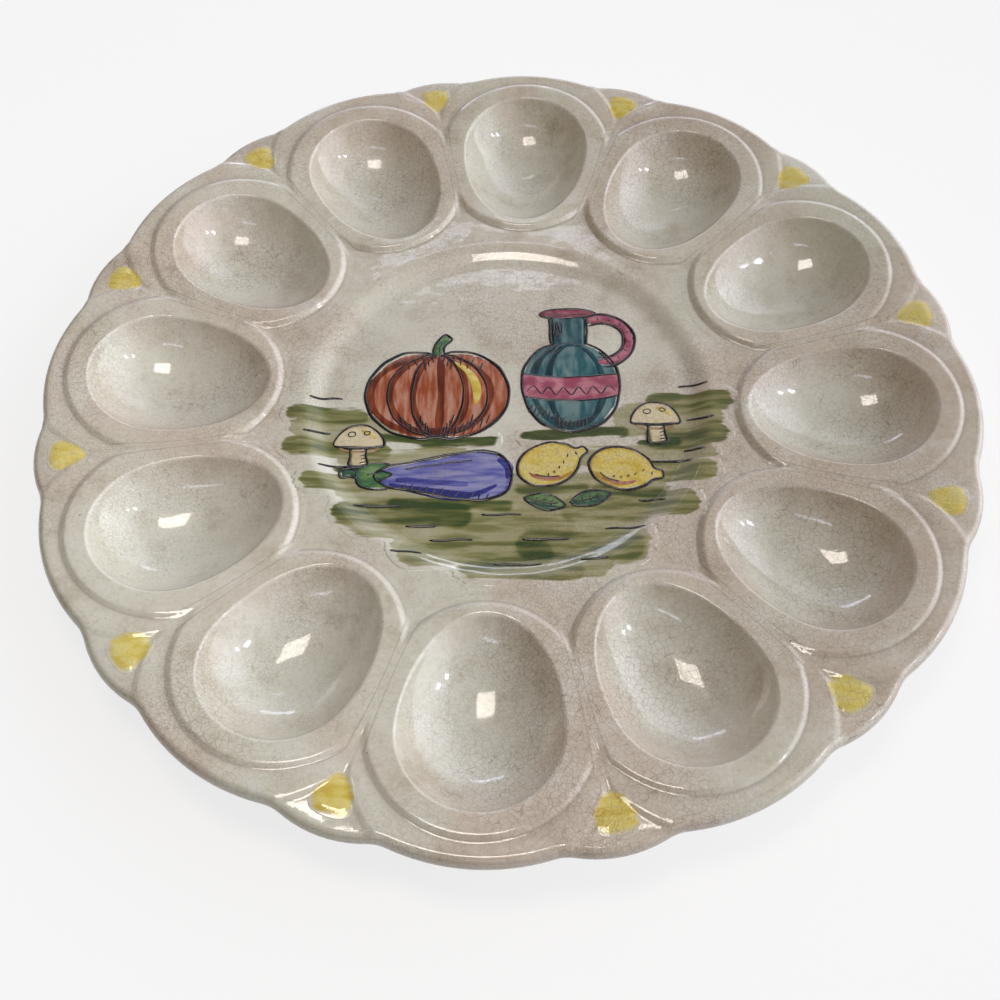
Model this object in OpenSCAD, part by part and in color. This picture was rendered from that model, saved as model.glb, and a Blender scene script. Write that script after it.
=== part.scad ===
// Deviled egg platter: one glazed earthenware casting with twelve egg hollows in a scalloped,
// dished flange, twelve raised rim pads painted yellow, and a painted still life in the centre well.
// Millimetres, +Z up. The origin is the middle of the foot ring's flat underside, and +Y is the
// top of the painted still life.

/* [Rim] */
// Radius of the rim at the middle of a wide scallop
rim_r = 151; // [130:0.5:180]
// Radius of the arc that draws a wide scallop
wide_scallop_r = 62; // [58:0.5:66]
// How far a narrow scallop stays inside the rim radius
narrow_scallop_in = 0.6; // [0:0.1:2]
// Radius of the arc that draws a narrow scallop
narrow_scallop_r = 36.5; // [33:0.5:40]
// Radius of the rounding along the rim's edge
edge_round_r = 2.4; // [0.8:0.1:2.5]

/* [Flange] */
// Thickness of the casting in the flange and the well
wall_t = 5.2; // [4.2:0.1:7]
// Rise of the dished flange from the shoulder of the well to the rim
flange_rise = 8.2; // [4:0.2:12]
// Width of the level strip along the rim
rim_strip_w = 8; // [6:0.5:9]

/* [Egg hollows] */
// Distance from the rim to a hollow's mouth
rim_to_mouth = 13.7; // [12:0.1:15]
// Least width of the casting between the mouths of neighbouring hollows, which sets their number
web_w = 12; // [9:0.5:13]
// Length of a hollow's mouth, from its narrow inner end to its blunt outer end
hollow_len = 57.4; // [52:0.2:64]
// Width of a hollow's mouth
hollow_w = 46.2; // [40.6:0.2:50]
// Depth of a hollow below its mouth
hollow_depth = 14.5; // [11:0.5:17]
// Thickness of the casting under a hollow
hollow_wall_t = 4.6; // [3.6:0.1:5]
// Turn of the ring of hollows against the painted still life, in degrees
ring_turn = 11; // [-15:0.5:15]

/* [Collars and bands] */
// Width of the raised collar past a hollow's blunt outer end
collar_w = 6.7; // [5:0.1:7]
// Width of the collar at a hollow's sides
collar_side_w = 8.4; // [7:0.1:9]
// Width of the collar past a hollow's narrow inner end
collar_tip_w = 4.4; // [3:0.1:6]
// Height of a collar above the flange
collar_rise = 1.6; // [1:0.1:2.4]
// How much wider the band round each blunt end is than its collar
band_w = 3.1; // [2:0.1:4]
// Height of a band above the flange
band_rise = 0.8; // [0.3:0.1:0.9]
// How far the band's middle lies outside the middle of the hollow's blunt end
band_shift = 6.8; // [5:0.1:8]

/* [Centre well] */
// Width of the flange between the inner ends of the collars and the well's shoulder
shoulder_gap = 6.5; // [4:0.1:8]
// Depth of the well below its shoulder
well_depth = 3; // [1.5:0.1:5]
// Width of the sloping wall of the well
well_slope_w = 11; // [7:0.5:14]

/* [Foot ring] */
// How far the foot ring's outer side lies inside the floor of the well
foot_in = 1; // [0:0.5:8]
// Width of the foot ring's flat underside
foot_w = 4; // [3:0.1:6]
// How much wider the foot ring is where it meets the casting
foot_flare = 2.4; // [1:0.1:4]
// Clearance of the hollows' undersides above the table
table_gap = 1.5; // [0.8:0.1:5]

/* [Rim pads] */
// Distance from the rim to a rim pad
rim_to_pad = 5.7; // [5:0.1:7]
// Length of a rim pad, along the platter's radius
pad_len = 12.6; // [10:0.2:13]
// Width of a rim pad at its outer side
pad_w = 12.4; // [9:0.2:13]
// Rounding of a rim pad's corners
pad_corner_r = 2.6; // [1.5:0.1:3]
// Height of a rim pad above the flange
pad_rise = 0.6; // [0.3:0.1:1]
// Clearance between a rim pad and the bands beside it
pad_gap = 0.3; // [0.1:0.1:0.6]

/* [Painted still life] */
// Thickness of a fired layer of colour
paint_t = 0.25; // [0.15:0.05:0.4]
// Thickness of a fired ink line
ink_t = 0.35; // [0.2:0.05:0.5]
// Width of an ink line
ink_w = 0.9; // [0.6:0.1:1.2]
// Length of a brush stroke of the painted ground
stroke_l = 34; // [28:0.5:35]
// Width of a brush stroke of the painted ground
stroke_w = 7.4; // [5.6:0.2:7.8]
// Half width of the pumpkin, as a share of the radius of the well's floor, as are the ones that follow
pumpkin_w_share = 0.414; // [0.36:0.002:0.42]
// Half height of the pumpkin
pumpkin_h_share = 0.31; // [0.25:0.002:0.32]
// Half width of the jug's belly
jug_w_share = 0.284; // [0.24:0.002:0.29]
// Height of the jug's belly
jug_belly_share = 0.656; // [0.56:0.002:0.67]
// Height of the jug's neck
jug_neck_share = 0.206; // [0.16:0.002:0.23]
// Half width of the jug's neck
jug_neck_w_share = 0.112; // [0.09:0.002:0.13]
// Radius of the jug's handle, to the middle of its strap
jug_handle_share = 0.164; // [0.14:0.002:0.18]
// Width of the handle's strap
jug_strap_share = 0.068; // [0.05:0.002:0.08]
// Half length of a lemon, without its tip
lemon_l_share = 0.182; // [0.15:0.002:0.19]
// Half width of a lemon
lemon_w_share = 0.134; // [0.11:0.002:0.138]
// Length of the aubergine
aubergine_l_share = 0.758; // [0.64:0.002:0.78]
// Half width of the aubergine's thick end
aubergine_w_share = 0.162; // [0.13:0.002:0.17]
// Width of a mushroom's cap
mushroom_share = 0.276; // [0.22:0.002:0.28]

/* [Hidden] */
// Overrun of a cut past the face it opens, and of a joint into what it joins
over = 1;
// Steps of a curve: a collar's outline, the narrow half of a hollow, the well's wall, the flange
// and a rounded edge
outline_n = 36;
hollow_n = 6;
slope_n = 6;
flange_n = 4;
edge_n = 3;
$fn = 96;

// Distance from the platter's middle to the middle of a hollow, and from there to the middle of its
// blunt end
hollow_ring_r = rim_r - rim_to_mouth - hollow_len / 2;
blunt_out = hollow_len / 2 - hollow_w / 2;
blunt_ring_r = hollow_ring_r + blunt_out;
// Number of egg hollows, and of rim pads between them: as many as leave the web its width
hollow_count = floor(180 / asin((hollow_w + web_w) / (2 * blunt_ring_r)));
// Angle between neighbouring hollows, and the direction of hollow or pad k
pitch = 360 / hollow_count;
function pad_turn(k) = 90 + ring_turn - pitch * k;
function hollow_turn(k) = pad_turn(k) - pitch / 2;

PAD_NODES = [for (k = [1 : hollow_count]) str("yellow_pad_", k < 10 ? "0" : "", k)];

// Radius where the dished flange turns into the level strip along the rim
strip_r = rim_r - rim_strip_w;
// Radius of the well's shoulder, and the radius where the well's wall starts at the floor
well_r = hollow_ring_r - hollow_len / 2 - collar_tip_w - shoulder_gap;
well_floor_r = well_r - well_slope_w;
foot_r = well_floor_r - foot_in;
// Distance from the platter's middle to the middle of a rim pad
pad_ring_r = rim_r - rim_to_pad - pad_len / 2;
// Radius of a band, and the distance of its middle from the platter's
band_r = hollow_w / 2 + collar_side_w + band_w;
band_ring_r = blunt_ring_r + band_shift;
// Rounding of the rim's edge, which the wall's thickness limits
edge_r = min(edge_round_r, wall_t * 0.48);

// Ratio of the flange's rise to the square of the distance past the shoulder
flange_bow = flange_rise / pow(strip_r - well_r, 2);
function flange_z(r) = flange_bow * pow(min(r, strip_r) - well_r, 2);
// Tilt of a hollow, which follows the flange's slope under its middle
hollow_tilt = atan(2 * flange_bow * (hollow_ring_r - well_r));

// Radius of the round belly of a hollow, and the height of its axis above the mouth
belly_r = (pow(hollow_w / 2, 2) + pow(hollow_depth, 2)) / (2 * hollow_depth);
axis_up = belly_r - hollow_depth;
// Length of the narrow half of a mouth, and of the hollow's whole round form inside it
narrow_len = hollow_len / 2 + blunt_out;
narrow_l = narrow_len * belly_r / (hollow_w / 2);

// Heights above the table, worked up from the gap under the hollows
mouth_z = table_gap + hollow_wall_t + belly_r
    - axis_up * cos(hollow_tilt) - blunt_out * sin(hollow_tilt);
shoulder_z = mouth_z - collar_rise - flange_z(hollow_ring_r);
floor_z = shoulder_z - well_depth;
rim_z = shoulder_z + flange_rise;

// Height of the casting's top, without collars and bands, at a distance from the middle
function ease(t) = (1 - cos(180 * t)) / 2;
function top_z(r) = r <= well_floor_r ? floor_z
    : r <= well_r ? floor_z + well_depth * ease((r - well_floor_r) / well_slope_w)
    : shoulder_z + flange_z(r);
slope_radii = [for (i = [0 : slope_n]) well_floor_r + well_slope_w * i / slope_n];
flange_radii = [for (i = [1 : flange_n]) well_r + (strip_r - well_r) * i / flange_n];
top_radii = concat(slope_radii, flange_radii);
// The same radii from the rim back to the middle, for the underside of a layer
function backwards(list) = [for (i = [len(list) - 1 : -1 : 0]) list[i]];

// A revolved layer that follows the casting's top, from one height over it to another,
// out to the radius outer
module top_layer(low, high, outer) {
    rotate_extrude() polygon(concat(
        [[0, floor_z + high]],
        [for (r = top_radii) [r, top_z(r) + high]],
        [[outer, rim_z + high], [outer, rim_z + low]],
        [for (r = backwards(top_radii)) [r, top_z(r) + low]],
        [[0, floor_z + low]]));
}

// The egg outline of a collar: a blunt half circle outwards and a half ellipse inwards
collar_half_w = hollow_w / 2 + collar_side_w;
collar_ring_r = blunt_ring_r + collar_w - collar_side_w;
collar_inward = collar_ring_r - hollow_ring_r + hollow_len / 2 + collar_tip_w;
COLLAR_POINTS = [for (i = [0 : outline_n - 1])
    let (a = 360 * i / outline_n)
    [collar_ring_r + cos(a) * (cos(a) > 0 ? collar_half_w : collar_inward), collar_half_w * sin(a)]];

// Half the profile of a hollow's round form, grown outwards by a wall: a quarter circle for the
// blunt end and a quarter ellipse for the narrow end
module hollow_profile(wall) {
    blunt = belly_r + wall;
    intersection() {
        circle(blunt);
        square(blunt + over);
    }
    polygon(concat([[0, 0]], [for (i = [0 : hollow_n]) let (a = 90 * i / hollow_n)
        [blunt * cos(a), -(narrow_l + wall) * sin(a)]]));
}

// The round form that hollows out the flange, lying along the platter's radius
module hollow_form(wall) {
    translate([hollow_ring_r, 0, mouth_z])
        rotate([0, -hollow_tilt, 0])
            translate([blunt_out, 0, axis_up])
                rotate([0, 90, 0])
                    rotate_extrude() hollow_profile(wall);
}

module round_hollows() {
    for (k = [0 : hollow_count - 1]) rotate([0, 0, hollow_turn(k)]) children();
}

module round_pads() {
    for (k = [0 : hollow_count - 1]) rotate([0, 0, pad_turn(k)]) children();
}

// The wide scallops, and all scallops, each drawn by an arc of its own
module wide_scallops(inset) {
    round_hollows() translate([rim_r - wide_scallop_r, 0]) circle(wide_scallop_r - inset);
}

module scalloped_outline() {
    wide_scallops(0);
    round_pads() translate([rim_r - narrow_scallop_in - narrow_scallop_r, 0]) circle(narrow_scallop_r);
}

// The scalloped strip along the rim, level outside the dished flange, with rounded edges
module rim_strip() {
    ring_r = rim_r + edge_r / 3;
    flat_r = ring_r - edge_r;
    intersection() {
        linear_extrude(rim_z + over) scalloped_outline();
        rotate_extrude() polygon(concat(
            [[strip_r, rim_z - wall_t]],
            [for (i = [0 : edge_n]) let (a = 90 * i / edge_n)
                [flat_r + edge_r * sin(a), rim_z - wall_t + edge_r * (1 - cos(a))]],
            [for (i = [edge_n : -1 : 0]) let (a = 90 * i / edge_n)
                [flat_r + edge_r * sin(a), rim_z - edge_r * (1 - cos(a))]],
            [[strip_r, rim_z]]));
    }
}

// The foot ring and the revolved shell of well and flange
module shell_and_foot() {
    rotate_extrude() polygon(concat(
        [[0, floor_z]],
        [for (r = top_radii) [r, top_z(r)]],
        [[strip_r + over, rim_z - over], [strip_r + over, rim_z - wall_t + over]],
        [for (r = backwards(top_radii)) [r, top_z(r) - wall_t]],
        [[0, floor_z - wall_t]]));
    foot_in_r = foot_r - foot_w;
    rotate_extrude() polygon([
        [foot_in_r, 0],
        [foot_r, 0],
        [foot_r + foot_flare / 2, top_z(foot_r + foot_flare / 2) - wall_t / 2],
        [foot_in_r - foot_flare / 2, top_z(foot_in_r - foot_flare / 2) - wall_t / 2]]);
}

// The undersides of the hollows, which stand out below the flange and end inside its wall
module hollow_undersides() {
    round_hollows()
        intersection() {
            hollow_form(hollow_wall_t);
            translate([hollow_ring_r, 0, mouth_z - collar_rise - wall_t / 2])
                rotate([0, -hollow_tilt, 0])
                    translate([-hollow_len, -hollow_w, -belly_r])
                        cube([2 * hollow_len, 2 * hollow_w, belly_r]);
        }
}

module collars() {
    intersection() {
        linear_extrude(rim_z + collar_rise + over)
            round_hollows() polygon(COLLAR_POINTS);
        top_layer(-over, collar_rise, rim_r);
    }
}

module band_outline(grow) translate([band_ring_r, 0]) circle(band_r + grow);

// The bands round the hollows' blunt ends, which stop short of the rounded edge
module bands() {
    intersection() {
        linear_extrude(rim_z + band_rise + over)
            intersection() {
                round_hollows() band_outline(0);
                wide_scallops(edge_r);
            }
        top_layer(-over, band_rise, rim_r);
    }
}

module platter_body() {
    color("#DCD5CB")
        difference() {
            union() {
                shell_and_foot();
                hollow_undersides();
                rim_strip();
                bands();
                collars();
            }
            round_hollows() hollow_form(0);
        }
}

// A rounded triangle, blunt side outwards, that stays clear of the bands on both sides
module pad_outline() {
    half_l = pad_len / 2 - pad_corner_r;
    half_w = pad_w / 2 - pad_corner_r;
    difference() {
        translate([pad_ring_r, 0]) hull() {
            translate([-half_l, 0]) circle(pad_corner_r);
            for (side = [-1, 1]) translate([half_l, side * half_w]) circle(pad_corner_r);
        }
        for (side = [-1, 1]) rotate(side * pitch / 2) band_outline(pad_gap);
    }
}

module yellow_pad(k) {
    color("#DCC24C")
        rotate([0, 0, pad_turn(k)])
            intersection() {
                linear_extrude(rim_z + pad_rise + over) pad_outline();
                top_layer(0, pad_rise, rim_r);
            }
}

// Sizes of the painted things, which are laid out for the floor of the well
pumpkin_half_w = pumpkin_w_share * well_floor_r;
pumpkin_half_h = pumpkin_h_share * well_floor_r;
jug_half_w = jug_w_share * well_floor_r;
jug_belly_h = jug_belly_share * well_floor_r;
jug_neck_h = jug_neck_share * well_floor_r;
jug_neck_half_w = jug_neck_w_share * well_floor_r;
jug_handle_r = jug_handle_share * well_floor_r;
jug_strap_w = jug_strap_share * well_floor_r;
lemon_half_l = lemon_l_share * well_floor_r;
lemon_half_w = lemon_w_share * well_floor_r;
aubergine_l = aubergine_l_share * well_floor_r;
aubergine_half_w = aubergine_w_share * well_floor_r;
mushroom_w = mushroom_share * well_floor_r;

// Places of the painted things, as shares of the radius of the well's floor
pumpkin_share = [-0.4, 0.05];
jug_share = [0.37, 0.11];
aubergine_share = [-0.36, -0.5];
lemon_shares = [[0.23, -0.43], [0.63, -0.46]];
lemon_turns = [24, -12];
lemon_leaf_shares = [[0.2, -0.67], [0.45, -0.65]];
lemon_leaf_turns = [-12, 16];
mushroom_shares = [[0.84, -0.16], [-0.83, -0.3]];
// Brush strokes of the ground: places, and lengths as shares of a stroke's length
stroke_shares = [[-0.98, -0.12], [0.98, -0.05], [-0.94, -0.33], [0.98, -0.3],
    [-0.55, -0.76], [0, -0.82], [0.55, -0.72], [-0.12, -0.98], [0.34, -0.98]];
stroke_length_shares = [0.7, 0.7, 0.8, 0.6, 1, 1.1, 1, 1.2, 0.8];
// Ink dashes between the strokes, and their lengths as shares of a stroke's length
dash_shares = [[-0.92, -0.44], [0.9, -0.42], [-0.3, -0.9], [0.2, -0.9], [0.62, -0.84]];
dash_length_share = 0.4;

module at(share) translate(well_floor_r * share) children();

module oval(half_l, half_w) {
    polygon([for (i = [0 : outline_n - 1]) let (a = 360 * i / outline_n)
        [half_l * cos(a), half_w * sin(a)]]);
}

// A pointed leaf between two arcs
module leaf(half_l, half_w) {
    arc_r = (half_l * half_l + half_w * half_w) / (2 * half_w);
    intersection() {
        translate([0, arc_r - half_w]) circle(arc_r);
        translate([0, half_w - arc_r]) circle(arc_r);
    }
}

// An ink line along an oval, and a straight one along x
module oval_line(half_l, half_w) {
    difference() {
        oval(half_l + ink_w / 2, half_w + ink_w / 2);
        oval(half_l - ink_w / 2, half_w - ink_w / 2);
    }
}

module straight_line(l) translate([-l / 2, -ink_w / 2]) square([l, ink_w]);

// An outlined thing is drawn by two modules: its silhouette, out to the middle of its ink line,
// and its ink lines
module pumpkin_shape() at(pumpkin_share) oval(pumpkin_half_w, pumpkin_half_h);

module pumpkin_ink() {
    at(pumpkin_share) {
        for (rib_share = [0.34, 0.7, 1])
            oval_line(pumpkin_half_w * rib_share, pumpkin_half_h * (1.06 - 0.06 * rib_share));
        difference() {
            pumpkin_stalk(ink_w / 2);
            pumpkin_stalk(-ink_w / 2);
            oval(pumpkin_half_w, pumpkin_half_h);
        }
    }
}

// The pumpkin's short stalk, grown by an edge
module pumpkin_stalk(edge) {
    stalk_w = pumpkin_half_w * 0.22;
    translate([0, pumpkin_half_h + stalk_w / 2]) oval(stalk_w / 2 + edge, stalk_w + edge);
}

module jug_belly(edge) oval(jug_half_w + edge, jug_belly_h / 2 + edge);

module jug_neck(edge) {
    translate([-jug_neck_half_w - edge, 0])
        square([2 * (jug_neck_half_w + edge), jug_belly_h / 2 + jug_neck_h - ink_w]);
}

module jug_lip(edge) {
    translate([0, jug_belly_h / 2 + jug_neck_h]) oval(jug_neck_half_w * 1.5 + edge, jug_strap_w / 2 + edge);
}

module jug_handle(edge) {
    translate([jug_neck_half_w + jug_handle_r / 2, jug_belly_h / 2])
        difference() {
            circle(jug_handle_r + jug_strap_w / 2 + edge);
            circle(jug_handle_r - jug_strap_w / 2 - edge);
        }
}

// The band of colour round the jug's belly
module jug_band(edge) {
    translate([-jug_half_w, -jug_belly_h / 8 - edge]) square([2 * jug_half_w, jug_belly_h / 4 + 2 * edge]);
}

module jug_shape(edge) {
    jug_belly(edge);
    jug_neck(edge);
    jug_lip(edge);
    jug_handle(edge);
}

module jug_ink() {
    at(jug_share) {
        difference() {
            jug_handle(ink_w / 2);
            jug_handle(-ink_w / 2);
            jug_belly(-ink_w / 2);
            jug_neck(-ink_w / 2);
        }
        difference() {
            union() {
                jug_belly(ink_w / 2);
                jug_neck(ink_w / 2);
            }
            jug_belly(-ink_w / 2);
            jug_neck(-ink_w / 2);
            jug_lip(0);
        }
        difference() {
            jug_lip(ink_w / 2);
            jug_lip(-ink_w / 2);
        }
        intersection() {
            jug_belly(0);
            difference() {
                jug_band(ink_w / 2);
                jug_band(-ink_w / 2);
            }
        }
    }
}

module aubergine_shape(edge) {
    at(aubergine_share)
        polygon([for (i = [0 : outline_n - 1])
            let (a = 360 * i / outline_n, taper = 0.78 + 0.22 * cos(a))
            [(aubergine_l / 2 + edge) * cos(a), (aubergine_half_w * taper + edge) * sin(a)]]);
}

module aubergine_cap(edge) {
    at(aubergine_share) translate([-aubergine_l / 2, 0])
        oval(aubergine_half_w * 0.55 + edge, aubergine_half_w * 0.5 + edge);
}

module aubergine_ink() {
    difference() {
        aubergine_shape(ink_w / 2);
        aubergine_shape(-ink_w / 2);
        aubergine_cap(0);
    }
    difference() {
        aubergine_cap(ink_w / 2);
        aubergine_cap(-ink_w / 2);
    }
}

module lemons(edge) {
    for (i = [0 : len(lemon_shares) - 1]) at(lemon_shares[i]) rotate(lemon_turns[i]) {
        oval(lemon_half_l + edge, lemon_half_w + edge);
        translate([lemon_half_l, 0]) oval(lemon_half_w / 3 + edge, lemon_half_w / 4 + edge);
    }
}

module lemon_leaves(edge) {
    for (i = [0 : len(lemon_leaf_shares) - 1]) at(lemon_leaf_shares[i]) rotate(lemon_leaf_turns[i])
        leaf(lemon_half_l * 0.6 + edge, lemon_half_w * 0.36 + edge);
}

module mushroom_caps(edge) {
    for (share = mushroom_shares) at(share) difference() {
        oval(mushroom_w / 2 + edge, mushroom_w / 2 + edge);
        translate([-mushroom_w, -mushroom_w - edge]) square([2 * mushroom_w, mushroom_w]);
    }
}

module mushroom_stems(edge) {
    for (share = mushroom_shares) at(share) translate([-mushroom_w / 6 - edge, -mushroom_w / 2 - edge])
        square([mushroom_w / 3 + 2 * edge, mushroom_w / 2 + edge]);
}

// The ink line round the silhouette that a pair of shapes gives, the larger one first
module line_between() {
    difference() {
        children(0);
        children(1);
    }
}

module ink_shapes() {
    pumpkin_ink();
    jug_ink();
    aubergine_ink();
    line_between() {
        lemons(ink_w / 2);
        lemons(-ink_w / 2);
    }
    line_between() {
        lemon_leaves(ink_w / 2);
        lemon_leaves(-ink_w / 2);
    }
    line_between() {
        mushroom_caps(ink_w / 2);
        mushroom_caps(-ink_w / 2);
    }
    line_between() {
        mushroom_stems(ink_w / 2);
        union() {
            mushroom_stems(-ink_w / 2);
            mushroom_caps(0);
        }
    }
    for (share = dash_shares) at(share) straight_line(stroke_l * dash_length_share);
}

// Everything that stands in front of the painted ground
module things() {
    pumpkin_shape();
    at(pumpkin_share) pumpkin_stalk(0);
    at(jug_share) jug_shape(0);
    aubergine_shape(0);
    aubergine_cap(0);
    lemons(0);
    lemon_leaves(0);
    mushroom_caps(0);
    mushroom_stems(0);
}

// A coat of colour that follows the casting's top and leaves the ink lines free
module coat(thick) {
    intersection() {
        linear_extrude(rim_z) difference() {
            children();
            ink_shapes();
        }
        top_layer(0, thick, rim_r);
    }
}

module green_ground_paint() {
    color("#7C9A55") coat(paint_t) difference() {
        for (i = [0 : len(stroke_shares) - 1])
            at(stroke_shares[i]) oval(stroke_l * stroke_length_shares[i] / 2, stroke_w / 2);
        things();
    }
}

module teal_paint() {
    color("#2B7577") coat(paint_t) at(jug_share) difference() {
        union() {
            jug_belly(0);
            jug_neck(0);
        }
        jug_lip(0);
        jug_band(0);
    }
}

module rose_paint() {
    color("#BD6A7B") coat(paint_t) at(jug_share) {
        jug_lip(0);
        difference() {
            jug_handle(0);
            jug_belly(0);
            jug_neck(0);
        }
        intersection() {
            jug_belly(0);
            jug_band(0);
        }
    }
}

module rust_paint() color("#AD5C36") coat(paint_t) pumpkin_shape();

module yellow_paint() color("#E6D063") coat(paint_t) lemons(0);

module violet_paint() {
    color("#5F63B4") coat(paint_t) difference() {
        aubergine_shape(0);
        aubergine_cap(0);
    }
}

module leaf_green_paint() {
    color("#5E8A4B") coat(paint_t) {
        difference() {
            at(pumpkin_share) pumpkin_stalk(0);
            pumpkin_shape();
        }
        aubergine_cap(0);
        lemon_leaves(0);
    }
}

module cream_paint() {
    color("#D9CBA6") coat(paint_t) {
        mushroom_caps(0);
        mushroom_stems(0);
    }
}

module ink_lines() {
    color("#2B2623") intersection() {
        linear_extrude(rim_z) ink_shapes();
        top_layer(0, ink_t, rim_r);
    }
}

platter_body();
for (k = [1 : len(PAD_NODES)]) yellow_pad(k - 1);
green_ground_paint();
teal_paint();
rose_paint();
rust_paint();
yellow_paint();
violet_paint();
leaf_green_paint();
cream_paint();
ink_lines();
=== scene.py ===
# %% [markdown]
# # A deviled egg platter, dressed
# The platter is one slip-cast piece of pale earthenware with twelve egg hollows, twelve small
# raised rim pads in yellow and a still life painted in the middle, all under one clear gloss
# glaze that has crazed with age. The CAD frame gives the places. Here each piece gets its real
# surface: soft edges where the glaze ran, brush strokes, and the network of fine cracks.
#
# Lengths are millimetres until the last step of each mesh, which turns them into metres.

# %% The frame, and the CAD model's box before anything is added
import math
import random

import bmesh
import bpy
from mathutils import Matrix, Quaternion, Vector


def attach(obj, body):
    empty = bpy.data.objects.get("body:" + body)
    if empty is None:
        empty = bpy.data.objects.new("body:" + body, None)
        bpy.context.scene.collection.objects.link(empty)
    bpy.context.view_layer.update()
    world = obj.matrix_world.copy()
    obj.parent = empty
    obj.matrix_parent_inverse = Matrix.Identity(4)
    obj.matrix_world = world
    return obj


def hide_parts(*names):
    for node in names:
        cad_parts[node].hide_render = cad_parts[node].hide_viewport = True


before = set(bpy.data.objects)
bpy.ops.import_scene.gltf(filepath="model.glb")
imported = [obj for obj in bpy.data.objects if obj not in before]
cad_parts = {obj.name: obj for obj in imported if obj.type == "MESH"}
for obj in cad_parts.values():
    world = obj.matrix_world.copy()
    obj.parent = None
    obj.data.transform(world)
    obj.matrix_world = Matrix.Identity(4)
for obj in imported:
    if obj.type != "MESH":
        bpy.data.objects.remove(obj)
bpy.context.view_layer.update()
print("CAD nodes:", len(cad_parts))

# %% [markdown]
# ## The camera
# The photograph looks down on the platter at about 53 degrees, from close by. Its place was
# fitted to the outline of the scalloped rim. The view is aimed a little past the platter's
# middle, because the photograph isn't centred on it.

# %% Camera
CAMERA_ELEVATION = 53.01
CAMERA_DISTANCE = 0.3318
CAMERA_AIM_Z = 0.0238
CAMERA_PAN = 0.441
CAMERA_TILT = -6.632
CAMERA_ROLL = -0.543
CAMERA_LENS = 36.68
SENSOR_WIDTH = 36
CLIP_START = 0.01


def camera_matrix():
    """Place and direction of the camera, from its angles above."""
    elevation = math.radians(CAMERA_ELEVATION)
    sight = Vector((0, math.cos(elevation), -math.sin(elevation)))
    place = -CAMERA_DISTANCE * sight + Vector((0, 0, CAMERA_AIM_Z))
    right = Vector((1, 0, 0))
    up = right.cross(sight)
    pan = Quaternion(up, math.radians(CAMERA_PAN))
    turn = pan @ Quaternion(right, math.radians(CAMERA_TILT))
    sight = turn @ sight
    right = turn @ right
    roll = Quaternion(sight, -math.radians(CAMERA_ROLL))
    right = roll @ right
    up = right.cross(sight)
    matrix = Matrix((right, up, -sight)).transposed().to_4x4()
    matrix.translation = place
    return matrix


def added(name, data):
    """A new object in the scene."""
    obj = bpy.data.objects.new(name, data)
    bpy.context.scene.collection.objects.link(obj)
    return obj


camera_data = bpy.data.cameras.new("camera")
camera_data.lens = CAMERA_LENS
camera_data.sensor_width = SENSOR_WIDTH
camera_data.clip_start = CLIP_START
camera = added("camera", camera_data)
camera.matrix_world = camera_matrix()
bpy.context.scene.camera = camera
print("camera at", [round(c, 3) for c in camera.location])

# %% [markdown]
# ## The sizes, repeated from the part's source
# The same values as in the CAD source, in millimetres and degrees, and what follows from them.

# %% Sizes
RIM_R = 151
WIDE_R = 62
NARROW_IN = 0.6
NARROW_R = 36.5
EDGE_R = 2.4
WALL_T = 5.2
FLANGE_RISE = 8.2
STRIP_W = 8
HOLLOW_LEN = 57.4
HOLLOW_W = 46.2
HOLLOW_DEPTH = 14.5
HOLLOW_WALL_T = 4.6
RING_TURN = 11
RIM_TO_MOUTH = 13.7
COLLAR_W = 6.7
COLLAR_SIDE_W = 8.4
COLLAR_TIP_W = 4.4
COLLAR_RISE = 1.6
BAND_W = 3.1
BAND_RISE = 0.8
BAND_SHIFT = 6.8
SHOULDER_GAP = 6.5
WELL_DEPTH = 3
WELL_SLOPE_W = 11
FOOT_IN = 1
FOOT_W = 4
TABLE_GAP = 1.5
PAD_RISE = 0.45
COUNT = 12
PITCH = 360 / COUNT

STRIP_R = RIM_R - STRIP_W
HOLLOW_RING_R = RIM_R - RIM_TO_MOUTH - HOLLOW_LEN / 2
BLUNT_OUT = HOLLOW_LEN / 2 - HOLLOW_W / 2
BLUNT_RING_R = HOLLOW_RING_R + BLUNT_OUT
WELL_R = HOLLOW_RING_R - HOLLOW_LEN / 2 - COLLAR_TIP_W - SHOULDER_GAP
WELL_FLOOR_R = WELL_R - WELL_SLOPE_W
FOOT_R = WELL_FLOOR_R - FOOT_IN
FLANGE_BOW = FLANGE_RISE / (STRIP_R - WELL_R) ** 2
HOLLOW_TILT = math.atan(2 * FLANGE_BOW * (HOLLOW_RING_R - WELL_R))
BELLY_R = ((HOLLOW_W / 2) ** 2 + HOLLOW_DEPTH ** 2) / (2 * HOLLOW_DEPTH)
AXIS_UP = BELLY_R - HOLLOW_DEPTH
NARROW_LEN = HOLLOW_LEN / 2 + BLUNT_OUT
NARROW_L = NARROW_LEN * BELLY_R / (HOLLOW_W / 2)
MOUTH_Z = (TABLE_GAP + HOLLOW_WALL_T + BELLY_R - AXIS_UP * math.cos(HOLLOW_TILT)
           - BLUNT_OUT * math.sin(HOLLOW_TILT))
SHOULDER_Z = MOUTH_Z - COLLAR_RISE - FLANGE_BOW * (HOLLOW_RING_R - WELL_R) ** 2
FLOOR_Z = SHOULDER_Z - WELL_DEPTH
RIM_Z = SHOULDER_Z + FLANGE_RISE
COLLAR_RING_R = BLUNT_RING_R + COLLAR_W - COLLAR_SIDE_W
COLLAR_HALF_W = HOLLOW_W / 2 + COLLAR_SIDE_W
COLLAR_INWARD = COLLAR_RING_R - HOLLOW_RING_R + HOLLOW_LEN / 2 + COLLAR_TIP_W
BAND_RING_R = BLUNT_RING_R + BAND_SHIFT
BAND_R = HOLLOW_W / 2 + COLLAR_SIDE_W + BAND_W
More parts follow.
